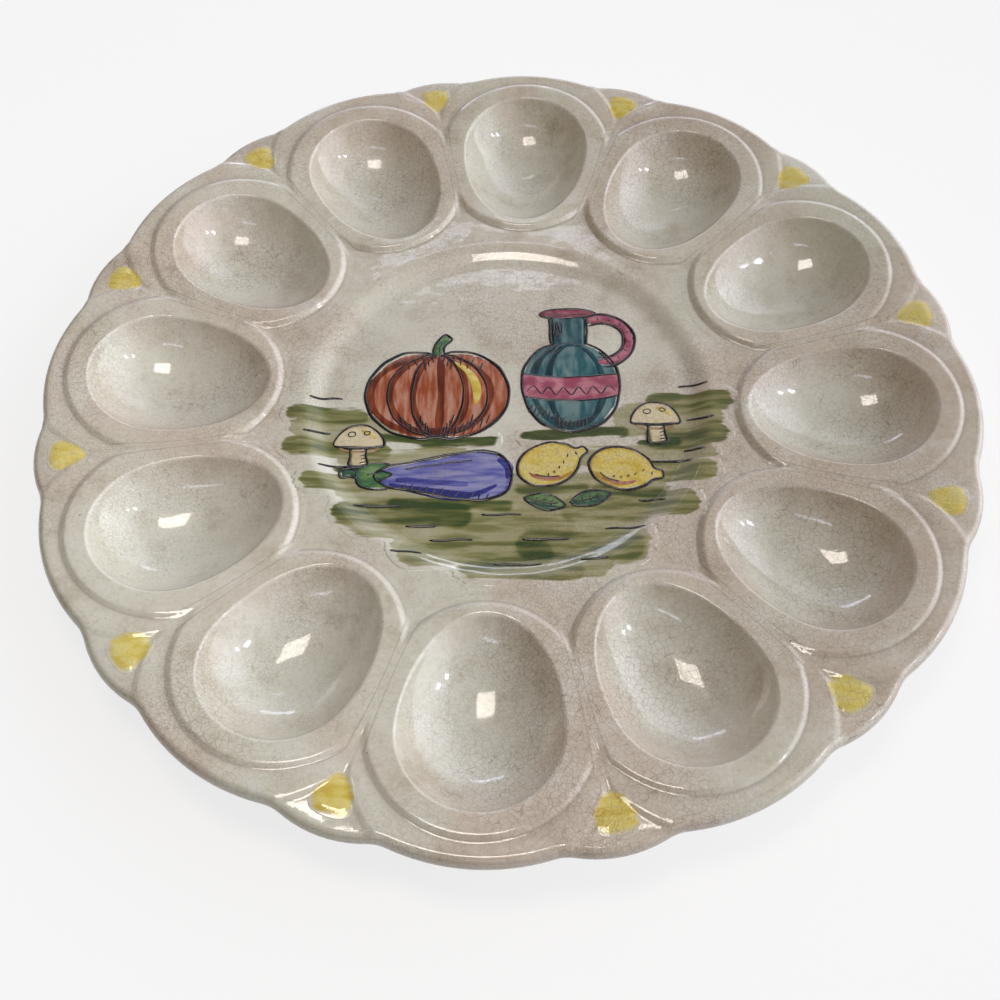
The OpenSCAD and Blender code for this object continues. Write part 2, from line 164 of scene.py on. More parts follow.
FIRST_HOLLOW = 90 + RING_TURN - PITCH / 2
print("mouth", round(MOUTH_Z, 2), "floor", round(FLOOR_Z, 2), "rim", round(RIM_Z, 2))

# %% [markdown]
# ## The surface of the casting, as heights
# A plaster mould gives every step and edge of the platter a soft roll, and the glaze fills it
# more. So the top is worked out as a height over each point: the dish, plus the collars and bands
# with sloping sides, joined to the hollows' round forms by a smooth minimum that rolls the lip
# over. The flange bows up from the well's shoulder, and from BOW_END_R on it rises to the rim
# nearly straight. The glaze pools in the hollows, so their round form is a little narrower and
# flatter than the clay's.

# %% Heights of the top
LIP_ROLL = 1.0  # how widely a hollow's lip is rolled over
STEP_HALF_W = 1.1  # half the width of the slope beside a collar or band
CORNER_ROLL = 0.9  # rounding where two collars or bands meet
BOW_END_R = 135
RIM_LIFT = 0.45  # height of the rim over the CAD model's
BOW_END_RISE = FLANGE_BOW * (BOW_END_R - WELL_R) ** 2
BOW_END_SLOPE = 2 * FLANGE_BOW * (BOW_END_R - WELL_R)
STRAIGHT_W = RIM_R - EDGE_R - BOW_END_R
STRAIGHT_RISE = FLANGE_RISE + RIM_LIFT - BOW_END_RISE
STRAIGHT_BOW = (BOW_END_SLOPE * STRAIGHT_W - STRAIGHT_RISE) / STRAIGHT_W ** 2
GLAZE_IN = 0.25  # glaze on a hollow's sides
POOLED = 1.5  # glaze over its deepest point
SEEN_DEPTH = HOLLOW_DEPTH - POOLED
SEEN_HALF_W = HOLLOW_W / 2 - GLAZE_IN
SEEN_BELLY = (SEEN_HALF_W ** 2 + SEEN_DEPTH ** 2) / (2 * SEEN_DEPTH)
SEEN_NARROW = (NARROW_LEN - GLAZE_IN) * SEEN_BELLY / SEEN_HALF_W
WELL_WALL_OUT = 0.6  # how much narrower the well's wall is at its top
WELL_WALL_IN = 1.2  # and at the floor
TILT_ROUNDS = 5


def smooth_min(a, b, roll):
    """The lower of two values, with the corner between them rolled over."""
    near = max(roll - abs(a - b), 0) / roll
    return min(a, b) - near * near * roll / 4


def smooth_max(a, b, roll):
    """The higher of two values, with the corner between them filled."""
    return -smooth_min(-a, -b, roll)


def smooth_share(value):
    """A value from 0 to 1 that leaves 0 and reaches 1 softly."""
    share = min(max(value, 0), 1)
    return share * share * (3 - 2 * share)


def dish_z(r):
    """Height of well and flange, without collars and bands, at a distance from the middle."""
    wall_start = WELL_FLOOR_R + WELL_WALL_IN
    if r <= wall_start:
        return FLOOR_Z
    if r <= WELL_R - WELL_WALL_OUT:
        share = (r - wall_start) / (WELL_R - WELL_WALL_OUT - wall_start)
        return FLOOR_Z + WELL_DEPTH * (1 - math.cos(math.pi * share)) / 2
    rise = FLANGE_BOW * (max(min(r, BOW_END_R), WELL_R) - WELL_R) ** 2
    out = max(r - BOW_END_R, 0)
    return SHOULDER_Z + rise + (BOW_END_SLOPE - STRAIGHT_BOW * out) * out


def next_place(x, y):
    """The same point as seen from the next hollow along the ring."""
    c = math.cos(math.radians(PITCH))
    s = math.sin(math.radians(PITCH))
    return x * c + y * s, y * c - x * s


def egg_distance(x, y):
    """Distance outside the egg outline of the collar of the hollow that lies along +X."""
    dx = x - COLLAR_RING_R
    reach = COLLAR_HALF_W if dx > 0 else COLLAR_INWARD
    share = math.hypot(dx / reach, y / COLLAR_HALF_W)
    slope = math.hypot(dx / reach ** 2, y / COLLAR_HALF_W ** 2)
    return share * (share - 1) / max(slope, 1e-9)


def collar_distance(x, y):
    """Distance outside the nearest collar."""
    return smooth_min(egg_distance(x, y), egg_distance(*next_place(x, y)), CORNER_ROLL)


def band_distance(x, y):
    """Distance outside the nearest band."""
    own = math.hypot(x - BAND_RING_R, y) - BAND_R
    nx, ny = next_place(x, y)
    other = math.hypot(nx - BAND_RING_R, ny) - BAND_R
    return smooth_min(own, other, CORNER_ROLL)


def step_up(distance):
    """1 inside an outline and 0 outside it, with a soft slope between."""
    return smooth_share((STEP_HALF_W - distance) / (2 * STEP_HALF_W))


def land_z(x, y):
    """Height of the top without the hollows."""
    collar = step_up(collar_distance(x, y))
    band = step_up(band_distance(x, y))
    return dish_z(math.hypot(x, y)) + COLLAR_RISE * collar + BAND_RISE * band * (1 - collar)


def form_z(x, y, belly, axis_up, narrow):
    """Height of the lower half of a tilted round form that is longer towards the well."""
    c = math.cos(HOLLOW_TILT)
    s = math.sin(HOLLOW_TILT)
    dx = x - HOLLOW_RING_R
    z = -HOLLOW_DEPTH
    for _ in range(TILT_ROUNDS):
        along = dx * c + z * s - BLUNT_OUT
        reach = belly if along > 0 else narrow
        left = belly ** 2 * (1 - (along / reach) ** 2) - y ** 2
        z = (axis_up - math.sqrt(max(left, 0)) + dx * s) / c
    return MOUTH_Z + z


def hollow_z(x, y):
    """Height of a hollow's inside."""
    return form_z(x, y, SEEN_BELLY, SEEN_BELLY - SEEN_DEPTH, SEEN_NARROW)


def hollow_under_z(x, y):
    """Height of a hollow's round underside."""
    return form_z(x, y, BELLY_R + HOLLOW_WALL_T, AXIS_UP, NARROW_L + HOLLOW_WALL_T)


def top_z(x, y):
    """Height of the finished top of the flange, by the hollow that lies along +X."""
    return smooth_min(land_z(x, y), hollow_z(x, y), LIP_ROLL)


print("deepest point", round(min(top_z(90 + i, 0) for i in range(50)), 2))

# %% [markdown]
# ## The rim's outline
# Two arcs take turns along the rim: a wide scallop at each hollow and a narrow one at each pad.
# The notch where they meet is worn round, as it is in fired clay.

# %% Outline of the rim
NOTCH_ROLL = 1.6
RIM_TURNS = [*range(8), 7.8, 8.3, 8.7, 9.0, 9.3, 9.6, 10, 10.5, 11.2, *range(12, 16)]
SLOPE_STEP = 0.05  # degrees to either side between which the outline's slope is measured


def rim_reach(turn):
    """Distance of the rim's outline from the middle, in a direction measured from a hollow."""
    wide = math.radians(turn)
    narrow = math.radians(PITCH / 2 - turn)
    wide_c = RIM_R - WIDE_R
    narrow_c = RIM_R - NARROW_IN - NARROW_R
    wide_half = math.sqrt(WIDE_R ** 2 - (wide_c * math.sin(wide)) ** 2)
    narrow_half = math.sqrt(NARROW_R ** 2 - (narrow_c * math.sin(narrow)) ** 2)
    wide_r = wide_c * math.cos(wide) + wide_half
    narrow_r = narrow_c * math.cos(narrow) + narrow_half
    return smooth_max(wide_r, narrow_r, NOTCH_ROLL)


def rim_point(turn):
    """A point of the outline and its outward normal."""
    reach = rim_reach(turn)
    rise = rim_reach(turn + SLOPE_STEP) - rim_reach(turn - SLOPE_STEP)
    slope = rise / math.radians(2 * SLOPE_STEP)
    if turn in (0, PITCH / 2):
        slope = 0
    a = math.radians(turn)
    out = Vector((math.cos(a), math.sin(a)))
    side = Vector((-math.sin(a), math.cos(a)))
    return reach * out, (reach * out - slope * side).normalized()


# %% [markdown]
# ## The casting's mesh
# One twelfth of the platter is the same on both sides of the hollow's middle line, so only a half
# of it is made. The top starts as a flat grid, which is bent round a pole inside the hollow: its
# columns become rays and its rows become rings, packed tightly where the lip and the steps turn.
# Two more grids make the well, and the rim's edge with the underside. The half is then mirrored,
# spun twelve times and merged, so every hollow is exactly alike and nothing has a seam. Each ring
# also gets a share for the glaze's colour: above 0 on a convex edge, where glaze runs thin and a
# painted highlight is laid on it, below 0 at the foot of a step, where dirt and painted shade sit
# in the groove.

# %% Rays and rings of a half sector
POLE_X = 112
WELL_START_R = 70.5
FLOOR_RINGS = 9
LIP_OFFSETS = [-1.9, -1.2, -0.8, -0.5, -0.2, 0.1, 0.4, 0.7, 1.1, 1.8]
STEP_OFFSETS = [-1.4, -0.9, -0.45, 0, 0.45, 0.9, 1.4]
BAND_OFFSETS = [-1.3, -0.5, 0.5, 1.3]
LEAST_STEP_TO_BAND = 2.9
LEAST_SPACING = 0.6  # of the rings' mean spacing, where a ray is too short for all of them
NEAREST_LIP, FARTHEST_LIP = 8, 38
STRAIGHT_RAYS = 32
WELL_RAYS = 10
# Above 0: thin glaze with a painted highlight on the lip's and steps' convex edges; below 0: dirt
# with painted shade at the steps' feet
EDGE_SHARES = [0] * FLOOR_RINGS + [0, 0, 0, 0.1, 0.5, 0.6, 0.2, 0, 0, 0] + [0]
EDGE_SHARES += [0, 0.2, 0.1, 0, -0.4, -1, -0.5, 0] + [0, 0.2, -0.4, -0.3, 0]
EDGE_STEPS = 8
HALVINGS = 24  # of a range until a crossing in it is found


def polar(r, a):
    """The point at a distance and an angle in radians from the middle."""
    return Vector((r * math.cos(a), r * math.sin(a)))


def crossing(f, low, high):
    """Where f, which is positive at low and negative at high, is zero."""
    for _ in range(HALVINGS):
        middle = (low + high) / 2
        if f(middle) > 0:
            low = middle
        else:
            high = middle
    return (low + high) / 2


def ray_ends():
    """Outer ends of the rays of a half sector, from the rim round to the well."""
    ends = []
    for turn in RIM_TURNS:
        point, normal = rim_point(turn)
        ends.append(point - EDGE_R * normal)
    a = math.radians(PITCH / 2)
    corner_r = ends[-1].length
    for i in range(1, STRAIGHT_RAYS + 1):
        ends.append(polar(corner_r + (WELL_START_R - corner_r) * i / STRAIGHT_RAYS, a))
    for i in range(1, WELL_RAYS + 1):
        ends.append(polar(WELL_START_R, a * (1 - i / WELL_RAYS)))
    return ends


def ring_places(end):
    """Distances from the pole, along one ray, of the rings between the pole and the ray's end."""
    pole = Vector((POLE_X, 0))
    reach = (end - pole).length
    ray = (end - pole) / reach

    def on_ray(f):
        """f as a function of the distance along the ray."""
        return lambda t: f(POLE_X + ray.x * t, ray.y * t)

    inside = on_ray(lambda x, y: land_z(x, y) - hollow_z(x, y))
    mouth = crossing(inside, NEAREST_LIP, min(reach, FARTHEST_LIP))
    places = [(mouth + LIP_OFFSETS[0]) * i / FLOOR_RINGS for i in range(FLOOR_RINGS)]
    places += [mouth + offset for offset in LIP_OFFSETS]
    start = places[-1]
    collar = on_ray(lambda x, y: -collar_distance(x, y))
    band = on_ray(lambda x, y: -band_distance(x, y))
    step = crossing(collar, start, reach) if collar(reach) < 0 else reach + collar(reach)
    ridge = crossing(band, step, reach) if band(reach) < 0 else reach + band(reach)
    ridge = max(ridge, step + LEAST_STEP_TO_BAND)
    targets = [(start + step + STEP_OFFSETS[0]) / 2]
    targets += [step + offset for offset in STEP_OFFSETS]
    targets.append((step + STEP_OFFSETS[-1] + ridge + BAND_OFFSETS[0]) / 2)
    targets += [ridge + offset for offset in BAND_OFFSETS]
    rings = len(targets) + 1
    spacing = LEAST_SPACING * (reach - start) / rings
    for i, target in enumerate(targets):
        places.append(min(target, reach - (rings - 1 - i) * spacing))
    places.append(reach)
    return [pole + ray * t for t in places]


ENDS = ray_ends()
TOP_RAYS = [ring_places(end) for end in ENDS]
print("rays", len(TOP_RAYS), "rings", len(TOP_RAYS[0]), len(EDGE_SHARES))

# %% Grids that become the half sector
UNDER_RADII = [*range(143, 74, -4), 70, 65]
WELL_RADII = [WELL_START_R, *(69.6 - i for i in range(13)), 55, 51, 45, 37, 28, 18, 8, 0]
UNDER_ROLL = 3
FOOT_SIDE_DEPTH = 0.7  # how far under the shell a foot's side starts


def under_z(x, y):
    """Height of the underside without the foot: the shell and the hollows' round undersides."""
    shell = dish_z(math.hypot(x, y)) - WALL_T
    own = hollow_under_z(x, y)
    other = hollow_under_z(*next_place(x, y))
    return smooth_min(shell, smooth_min(own, other, UNDER_ROLL), UNDER_ROLL)


def foot_profile():
    """Radius and height along the foot ring, from its outer side to its inner side."""
    shell = FLOOR_Z - WALL_T
    inner_r = FOOT_R - FOOT_W
    side = [(1.4, shell - FOOT_SIDE_DEPTH), (0.9, 5), (0.5, 2.6), (0.1, 1), (-0.4, 0.3), (-1.1, 0)]
    outer = [(FOOT_R + 2.8, shell + 0.2)] + [(FOOT_R + out, z) for out, z in side]
    inner = [(inner_r - out, z) for out, z in reversed(side)] + [(inner_r - 2.8, shell)]
    return outer + inner + [(r, shell) for r in (38, 20, 0)]


def under_column(turn):
    """Points from the top of the rim's edge round it and along the underside to the middle."""
    point, normal = rim_point(turn)
    inset = point - EDGE_R * normal
    high = top_z(inset.x, inset.y)
    low = dish_z(inset.length) - WALL_T
    column = []
    for i in range(EDGE_STEPS + 1):
        a = math.pi * i / EDGE_STEPS
        place = inset + EDGE_R * math.sin(a) * normal
        z = (high + low) / 2 + (high - low) / 2 * math.cos(a)
        column.append(Vector((place.x, place.y, z)))
    out = inset.normalized()
    for r in UNDER_RADII:
        column.append(Vector((r * out.x, r * out.y, under_z(r * out.x, r * out.y))))
    for r, z in foot_profile():
        column.append(Vector((r * out.x, r * out.y, z)))
    return column


def bent_grid(bm, columns):
    """A flat grid whose points are moved to the given columns of points."""
    rows = len(columns[0])
    made = bmesh.ops.create_grid(bm, x_segments=len(columns) - 1, y_segments=rows - 1, size=1)
    order = sorted(made["verts"], key=lambda v: (round(v.co.x, 5), round(v.co.y, 5)))
    for i, vert in enumerate(order):
        vert.co = columns[i // rows][i % rows]
    return order


def top_column(places):
    """The places of one ray, at the height of the top."""
    return [Vector((p.x, p.y, top_z(p.x, p.y))) for p in places]


def well_column(end):
    """Points from the flange down into the well and to its middle."""
    out = end.normalized()
    return [Vector((r * out.x, r * out.y, dish_z(r))) for r in WELL_RADII]


MM = 0.001  # a millimetre in metres


def smooth_mesh(bm, name):
    """The finished mesh as an object, in metres, with smooth shading."""
    bmesh.ops.scale(bm, vec=(MM, MM, MM), verts=bm.verts)
    bmesh.ops.recalc_face_normals(bm, faces=bm.faces)
    for face in bm.faces:
        face.smooth = True
    mesh = bpy.data.meshes.new(name)
    bm.to_mesh(mesh)
    bm.free()
    return added(name, mesh)


# %% The casting
SEAM = 0.002  # points nearer than this are one
NO_LENGTH = 0.0005


def build_body():
    """The whole casting from one half sector."""
    bm = bmesh.new()
    # a share at each point: thin glaze with a painted highlight above 0, dirt with painted shade
    # below 0
    edge_highlight_and_shade = bm.verts.layers.float.new("edge")
    top = bent_grid(bm, [top_column(places) for places in TOP_RAYS])
    for i, vert in enumerate(top):
        vert[edge_highlight_and_shade] = EDGE_SHARES[i % len(EDGE_SHARES)]
    inner_ends = [end for end in ENDS if end.length < WELL_START_R + 0.01]
    bent_grid(bm, [well_column(end) for end in inner_ends])
    bent_grid(bm, [under_column(turn) for turn in RIM_TURNS])
    bmesh.ops.remove_doubles(bm, verts=bm.verts, dist=SEAM)
    half = bm.verts[:] + bm.edges[:] + bm.faces[:]
    bmesh.ops.mirror(bm, geom=half, matrix=Matrix(), merge_dist=SEAM, axis="Y")
    bmesh.ops.rotate(bm, verts=bm.verts, cent=(0, 0, 0),
                     matrix=Matrix.Rotation(math.radians(FIRST_HOLLOW), 3, "Z"))
    sector = bm.verts[:] + bm.edges[:] + bm.faces[:]
    bmesh.ops.spin(bm, geom=sector, cent=(0, 0, 0), axis=(0, 0, 1),
                   angle=math.radians(360 - PITCH), steps=COUNT - 1, use_duplicate=True)
    bmesh.ops.remove_doubles(bm, verts=bm.verts, dist=SEAM)
    bmesh.ops.dissolve_degenerate(bm, dist=NO_LENGTH, edges=bm.edges)
    open_edges = sum(len(edge.link_faces) != 2 for edge in bm.edges)
    print("casting:", len(bm.faces), "faces,", open_edges, "open edges")
    return smooth_mesh(bm, "casting")


casting = build_body()

# %% [markdown]
# ## The glaze
# The casting is pale grey-beige clay under a thick clear gloss glaze. It looks like itself by a
# mirror-like clear coat over a duller body, a greenish white where the glaze pooled in the
# hollows, a pinkish beige on the ridges, clouds and grain that go both darker and paler, the net
# of fine brown cracks in patches, and a few specks. All sizes are worked from millimetres, and
# the pattern lies in object coordinates, so it stays put from every side. The paints lie under
# the same glaze, so one function makes them too. A coat of colour carries two values at each
# point of its mesh: how far it is inside the coat's edge, in millimetres, and how loaded the
# brush was. Near its edge a coat thins out to bare clay along a ragged line, as watery colour
# does, so it never shows a cut border.

# %% Colours of the clay, and small helpers for node materials
CLAY_POOLED = "#D6D6C8"
CLAY_LIGHT = "#CFCCB9"
CLAY_PINK = "#C8BBA9"
CLAY_STAIN = "#A59780"
# Paler clay in clouds and grain, and also the painted highlight on convex edges
CLAY_PALE_AND_HIGHLIGHT = "#DFDDD3"
# Dirt and painted shade in the grooves at the steps' feet
CLAY_GROOVE_DIRT_AND_SHADE = "#8A7D70"
CRACK_BROWN = "#6E5C4C"
SPECK_BROWN = "#55453A"


def linear(code):
    """An sRGB colour code as the linear colour that shaders want."""
    out = []
    for i in (1, 3, 5):
        c = int(code[i:i + 2], 16) / 255
        out.append(c / 12.92 if c <= 0.04045 else ((c + 0.055) / 1.055) ** 2.4)
    return (*out, 1)


def bare_tree(owner):
    """The emptied node tree of a new material or world."""
    owner.use_nodes = True
    owner.node_tree.nodes.clear()
    return owner.node_tree


def add_node(tree, kind, inputs=None, **settings):
    """A node with settings, and inputs given as values or as another node's output socket."""
    node = tree.nodes.new("ShaderNode" + kind)
    for name, value in settings.items():
        setattr(node, name, value)
    for name, value in (inputs or {}).items():
        if isinstance(value, bpy.types.NodeSocket):
            tree.links.new(value, node.inputs[name])
        else:
            node.inputs[name].default_value = value
    return node


def per_mm(size):
    """Scale of a pattern, in metres, whose features are this many millimetres across."""
    return 1 / (size * MM)


def mapped(tree, value, low, high, to_low=0, to_high=1):
    """A value mapped smoothly from one range to another."""
    ends = {0: value, 1: low, 2: high, 3: to_low, 4: to_high}
    return add_node(tree, "MapRange", ends, interpolation_type="SMOOTHSTEP").outputs[0]


def mixed(tree, share, a, b, blend="MIX"):
    """Two colours mixed by a share."""
    node = add_node(tree, "Mix", {0: share, 6: a, 7: b}, data_type="RGBA", blend_type=blend,
                    clamp_factor=False)
    return node.outputs[2]


def math_node(tree, operation, *values):
    """The result of one operation on numbers."""
    return add_node(tree, "Math", dict(enumerate(values)), operation=operation).outputs[0]


def vector_node(tree, operation, *values):
    """The result of one operation on vectors, as a vector or, for a dot product, a number."""
    node = add_node(tree, "VectorMath", dict(enumerate(values)), operation=operation)
    return node.outputs["Value" if operation == "DOT_PRODUCT" else "Vector"]


def attribute(tree, name):
    """A value that the mesh carries at each point."""
    return add_node(tree, "Attribute", attribute_name=name).outputs["Fac"]


def noise(tree, place, size, detail=2.0, rough=0.5):
    """A cloudy pattern between 0 and 1 whose clouds are this many millimetres across."""
    inputs = {"Vector": place, "Scale": per_mm(size), "Detail": detail, "Roughness": rough}
    return add_node(tree, "TexNoise", inputs).outputs["Fac"]


# %% The glazed earthenware, and the same glaze over a pigment
POOL_TOP, POOL_BOTTOM = 19 * MM, 9 * MM  # heights between which pooled glaze gets whiter
POOL_STRENGTH = 0.75
DRIFT_SIZE, CLOUD_SIZE, GRAIN_SIZE, EDGE_PATCH_SIZE = 42, 15, 1.3, 9  # of the clay's patterns, in mm
# The third and fourth: the pale edge tint (thin glaze with a painted highlight) and the groove
# darkening (dirt with painted shade)
CLOUD_STRENGTH, GRAIN_STRENGTH, THIN_GLAZE_HIGHLIGHT_STRENGTH, GROOVE_DIRT_SHADE_STRENGTH = 0.6, 0.4, 0.6, 0.4
CRACK_NETS = [  # cell and width in mm, size and start of their patches, faintest and strongest
    (1.15, 0.075, 26, 0.42, 0.05, 0.9),
    (2.0, 0.1, 37, 0.4, 0.1, 1)]
CRACK_STRENGTH = 0.42
CRACK_DEPTH = 0.02  # as a share of the bump's height
BEND_SIZE, BEND_REACH = 2.2, 0.9 * MM  # of the bends in the cracks
SPECK_SIZE, SPECK_STRENGTH = 1.6, 0.5
WAVE_SIZE, WAVE_HEIGHT = 14, 0.35
BUMP_HEIGHT = 0.5 * MM


def crack_net(tree, place, cell, width):
    """Lines of about the given width along the borders of cells, both in millimetres."""
    node = add_node(tree, "TexVoronoi", {"Vector": place, "Scale": per_mm(cell)},
                    feature="DISTANCE_TO_EDGE")
    return mapped(tree, node.outputs["Distance"], 0.35 * width / cell, width / cell, 1, 0)


def clay_colour(tree, place):
    """The glazed clay: whiter where glaze pooled, paler on edges (thin glaze and painted
    highlight), darker in grooves (dirt and painted shade).
    """
    height = add_node(tree, "SeparateXYZ", {0: place}).outputs["Z"]
    pooled = mapped(tree, height, POOL_TOP, POOL_BOTTOM)
    drift = mapped(tree, noise(tree, place, DRIFT_SIZE, 3), 0.36, 0.64)
    colour = mixed(tree, drift, linear(CLAY_LIGHT), linear(CLAY_PINK))
    pooled = math_node(tree, "MULTIPLY", pooled, POOL_STRENGTH)
    colour = mixed(tree, pooled, colour, linear(CLAY_POOLED))
    cloud = noise(tree, place, CLOUD_SIZE, 5, 0.7)
    grain = noise(tree, place, GRAIN_SIZE, 4, 0.75)
    for pattern, start, end, strength, tint in (
            (cloud, 0.48, 0.76, CLOUD_STRENGTH, CLAY_STAIN),
            (cloud, 0.5, 0.26, CLOUD_STRENGTH, CLAY_PALE_AND_HIGHLIGHT),
            (grain, 0.5, 0.75, GRAIN_STRENGTH, CLAY_STAIN),
            (grain, 0.5, 0.28, GRAIN_STRENGTH, CLAY_PALE_AND_HIGHLIGHT)):
        colour = mixed(tree, mapped(tree, pattern, start, end, 0, strength), colour, linear(tint))
    # Paler on the edges: thin glaze with a painted highlight. Darker at a step's foot: dirt with
    # painted shade.
    edge = attribute(tree, "edge")
    patchy = mapped(tree, noise(tree, place, EDGE_PATCH_SIZE, 2), 0.35, 0.6, 0.35, 1)
    thin = math_node(tree, "MULTIPLY", mapped(tree, edge, 0.1, 1, 0, THIN_GLAZE_HIGHLIGHT_STRENGTH), patchy)
    colour = mixed(tree, thin, colour, linear(CLAY_PALE_AND_HIGHLIGHT))
    groove_dirt_and_shade = mapped(tree, edge, -0.1, -1, 0, GROOVE_DIRT_SHADE_STRENGTH)
    return mixed(tree, groove_dirt_and_shade, colour, linear(CLAY_GROOVE_DIRT_AND_SHADE))


def washed(tree, place, clay, pigment, deep, streak, ragged, thin, border, soft):
    """A watery pigment over the clay, streaked along the brush and ragged at its edge.

    streak gives the length and width of the brush's streaks, ragged how far they move the coat's
    edge, soft the distance from there until the clay is covered, border how much darker the colour
    dries along it, and thin how much the driest colour covers."""
    inside = attribute(tree, "inside")
    load = attribute(tree, "load")
    along, across = map(per_mm, streak)
    lane = vector_node(tree, "MULTIPLY", place, (along, across, along))
    brush = add_node(tree, "TexNoise", {"Vector": lane, "Scale": 1.0, "Detail": 4.0})
    brush = brush.outputs["Fac"]
    bite = math_node(tree, "MULTIPLY_ADD", brush, 4 * ragged, -2 * ragged)
    edge = math_node(tree, "ADD", inside, bite)
    cover = mapped(tree, edge, 0.1 * ragged, 0.1 * ragged + soft) if ragged else 1.0
    rim = mapped(tree, edge, 0.2, 1.5, border, 0)
    heavy = math_node(tree, "MULTIPLY_ADD", mapped(tree, brush, 0.32, 0.68), 0.55, load)
    heavy = math_node(tree, "ADD", heavy, rim)
    wash = mixed(tree, mapped(tree, heavy, 0.35, 1.35), linear(pigment), linear(deep))
    body = mapped(tree, heavy, 0.0, 0.9, thin, 1)
    return mixed(tree, math_node(tree, "MULTIPLY", cover, body), clay, wash)


def glazed(name, pigment=None, deep=None, streak=None, ragged=0, thin=1, border=0.35, soft=0.22):
    """Clear crazed glaze over clay, or over a pigment brushed on the clay."""
    material = bpy.data.materials.new(name)
    tree = bare_tree(material)
    place = add_node(tree, "TexCoord").outputs["Object"]
    colour = clay_colour(tree, place)
    if pigment:
        colour = washed(tree, place, colour, pigment, deep, streak, ragged, thin, border, soft)
    bend = add_node(tree, "TexNoise", {"Vector": place, "Scale": per_mm(BEND_SIZE), "Detail": 2.0})
    shift = vector_node(tree, "SUBTRACT", bend.outputs["Color"], (0.5, 0.5, 0.5))
    bent = vector_node(tree, "MULTIPLY_ADD", shift, (BEND_REACH,) * 3, place)
    nets = []
    for cell, width, patch_size, start, faint, strong in CRACK_NETS:
        patches = mapped(tree, noise(tree, place, patch_size, 3), start, 0.66, faint, strong)
        nets.append(math_node(tree, "MULTIPLY", crack_net(tree, bent, cell, width), patches))
    cracks = math_node(tree, "MAXIMUM", *nets)
    dark = math_node(tree, "MULTIPLY", cracks, CRACK_STRENGTH)
    colour = mixed(tree, dark, colour, linear(CRACK_BROWN))
    specks = mapped(tree, noise(tree, place, SPECK_SIZE, 1), 0.785, 0.81, 0, SPECK_STRENGTH)
    colour = mixed(tree, specks, colour, linear(SPECK_BROWN))
    wave = math_node(tree, "MULTIPLY", noise(tree, place, WAVE_SIZE, 2), WAVE_HEIGHT)
    height = math_node(tree, "SUBTRACT", wave, math_node(tree, "MULTIPLY", cracks, CRACK_DEPTH))
    bump = add_node(tree, "Bump", {"Height": height, "Strength": 1.0, "Distance": BUMP_HEIGHT})
    shader = add_node(tree, "BsdfPrincipled", {
        "Base Color": colour, "Roughness": 0.5, "Specular IOR Level": 0.1,
        "Coat Weight": 1.0, "Coat Roughness": 0.03, "Coat IOR": 1.6,
        "Normal": bump.outputs[0], "Coat Normal": bump.outputs[0]})
    add_node(tree, "OutputMaterial", {0: shader.outputs[0]})
    return material


glazed_earthenware = glazed("glazed_earthenware")
casting.data.materials.append(glazed_earthenware)
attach(casting, "root")
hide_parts("platter_body")
print("casting dressed")

# %% [markdown]
# ## Coats of colour on the glaze
# On the real platter a painter lays watery colours with a soft brush and draws the black lines
# over them. Two shapes are enough for that: a patch, which is filled from its middle out to a
# closed outline, and a stroke, which follows a path. Both are thin closed lenses that lie on the
# casting and sink into it at their edges. Outlines and paths are smooth curves through a few
# given points, and a seeded shake makes each line a little unsteady, as a hand is.

# %% Height anywhere, smooth curves, a shaky hand
HAND = random.Random(7)
PATH_STEP = 0.9  # distance between the points of a curve
FINE_STEP = 0.5  # the same for small things


def platter_z(x, y):
    """Height of the finished top at any point of the platter."""
    r = math.hypot(x, y)
    if r < WELL_START_R:
        return dish_z(r)
    turn = math.degrees(math.atan2(y, x)) - FIRST_HOLLOW
    off = math.radians(abs((turn + PITCH / 2) % PITCH - PITCH / 2))
    return top_z(r * math.cos(off), r * math.sin(off))


def moved(place, dx, dy):
    """A place moved by a little."""
    return place[0] + dx, place[1] + dy


def smooth_path(points, closed=False, step=PATH_STEP):
    """A smooth curve through the points, with a point on it every step or so."""
    spots = [Vector(p) for p in points]
    count = len(spots)
    path = []
    for i in range(count if closed else count - 1):
        if closed:
            a, b, c, d = (spots[(i + k) % count] for k in (-1, 0, 1, 2))
        else:
            a, b, c, d = (spots[min(max(i + k, 0), count - 1)] for k in (-1, 0, 1, 2))
        steps = max(2, math.ceil((c - b).length / step))
        bend = 2 * a - 5 * b + 4 * c - d
        for k in range(steps):
            t = k / steps
            path.append(b + 0.5 * t * (c - a + t * (bend + t * (3 * (b - c) + d - a))))
    if not closed:
        path.append(spots[-1])
    return path


def oval(centre, half_w, half_h, start=0, sweep=360, step=PATH_STEP):
    """Points along an oval, or along an arc of one."""
    steps = max(12, math.ceil(math.radians(abs(sweep)) * max(half_w, half_h) / step))
    path = []
    for i in range(steps if abs(sweep) == 360 else steps + 1):
        a = math.radians(start + sweep * i / steps)
        path.append(Vector(moved(centre, half_w * math.cos(a), half_h * math.sin(a))))
    return path


def placed(points, centre, turn=0, size=1):
    """Points moved from the origin to a place, turned and sized."""
    c = math.cos(math.radians(turn)) * size
    s = math.sin(math.radians(turn)) * size
    return [Vector((centre[0] + x * c - y * s, centre[1] + x * s + y * c)) for x, y in points]


def outline(points, place, turn=0, size=1, step=PATH_STEP):
    """The smooth closed outline of a thing, at its place."""
    return smooth_path(placed(points, place, turn, size), closed=True, step=step)


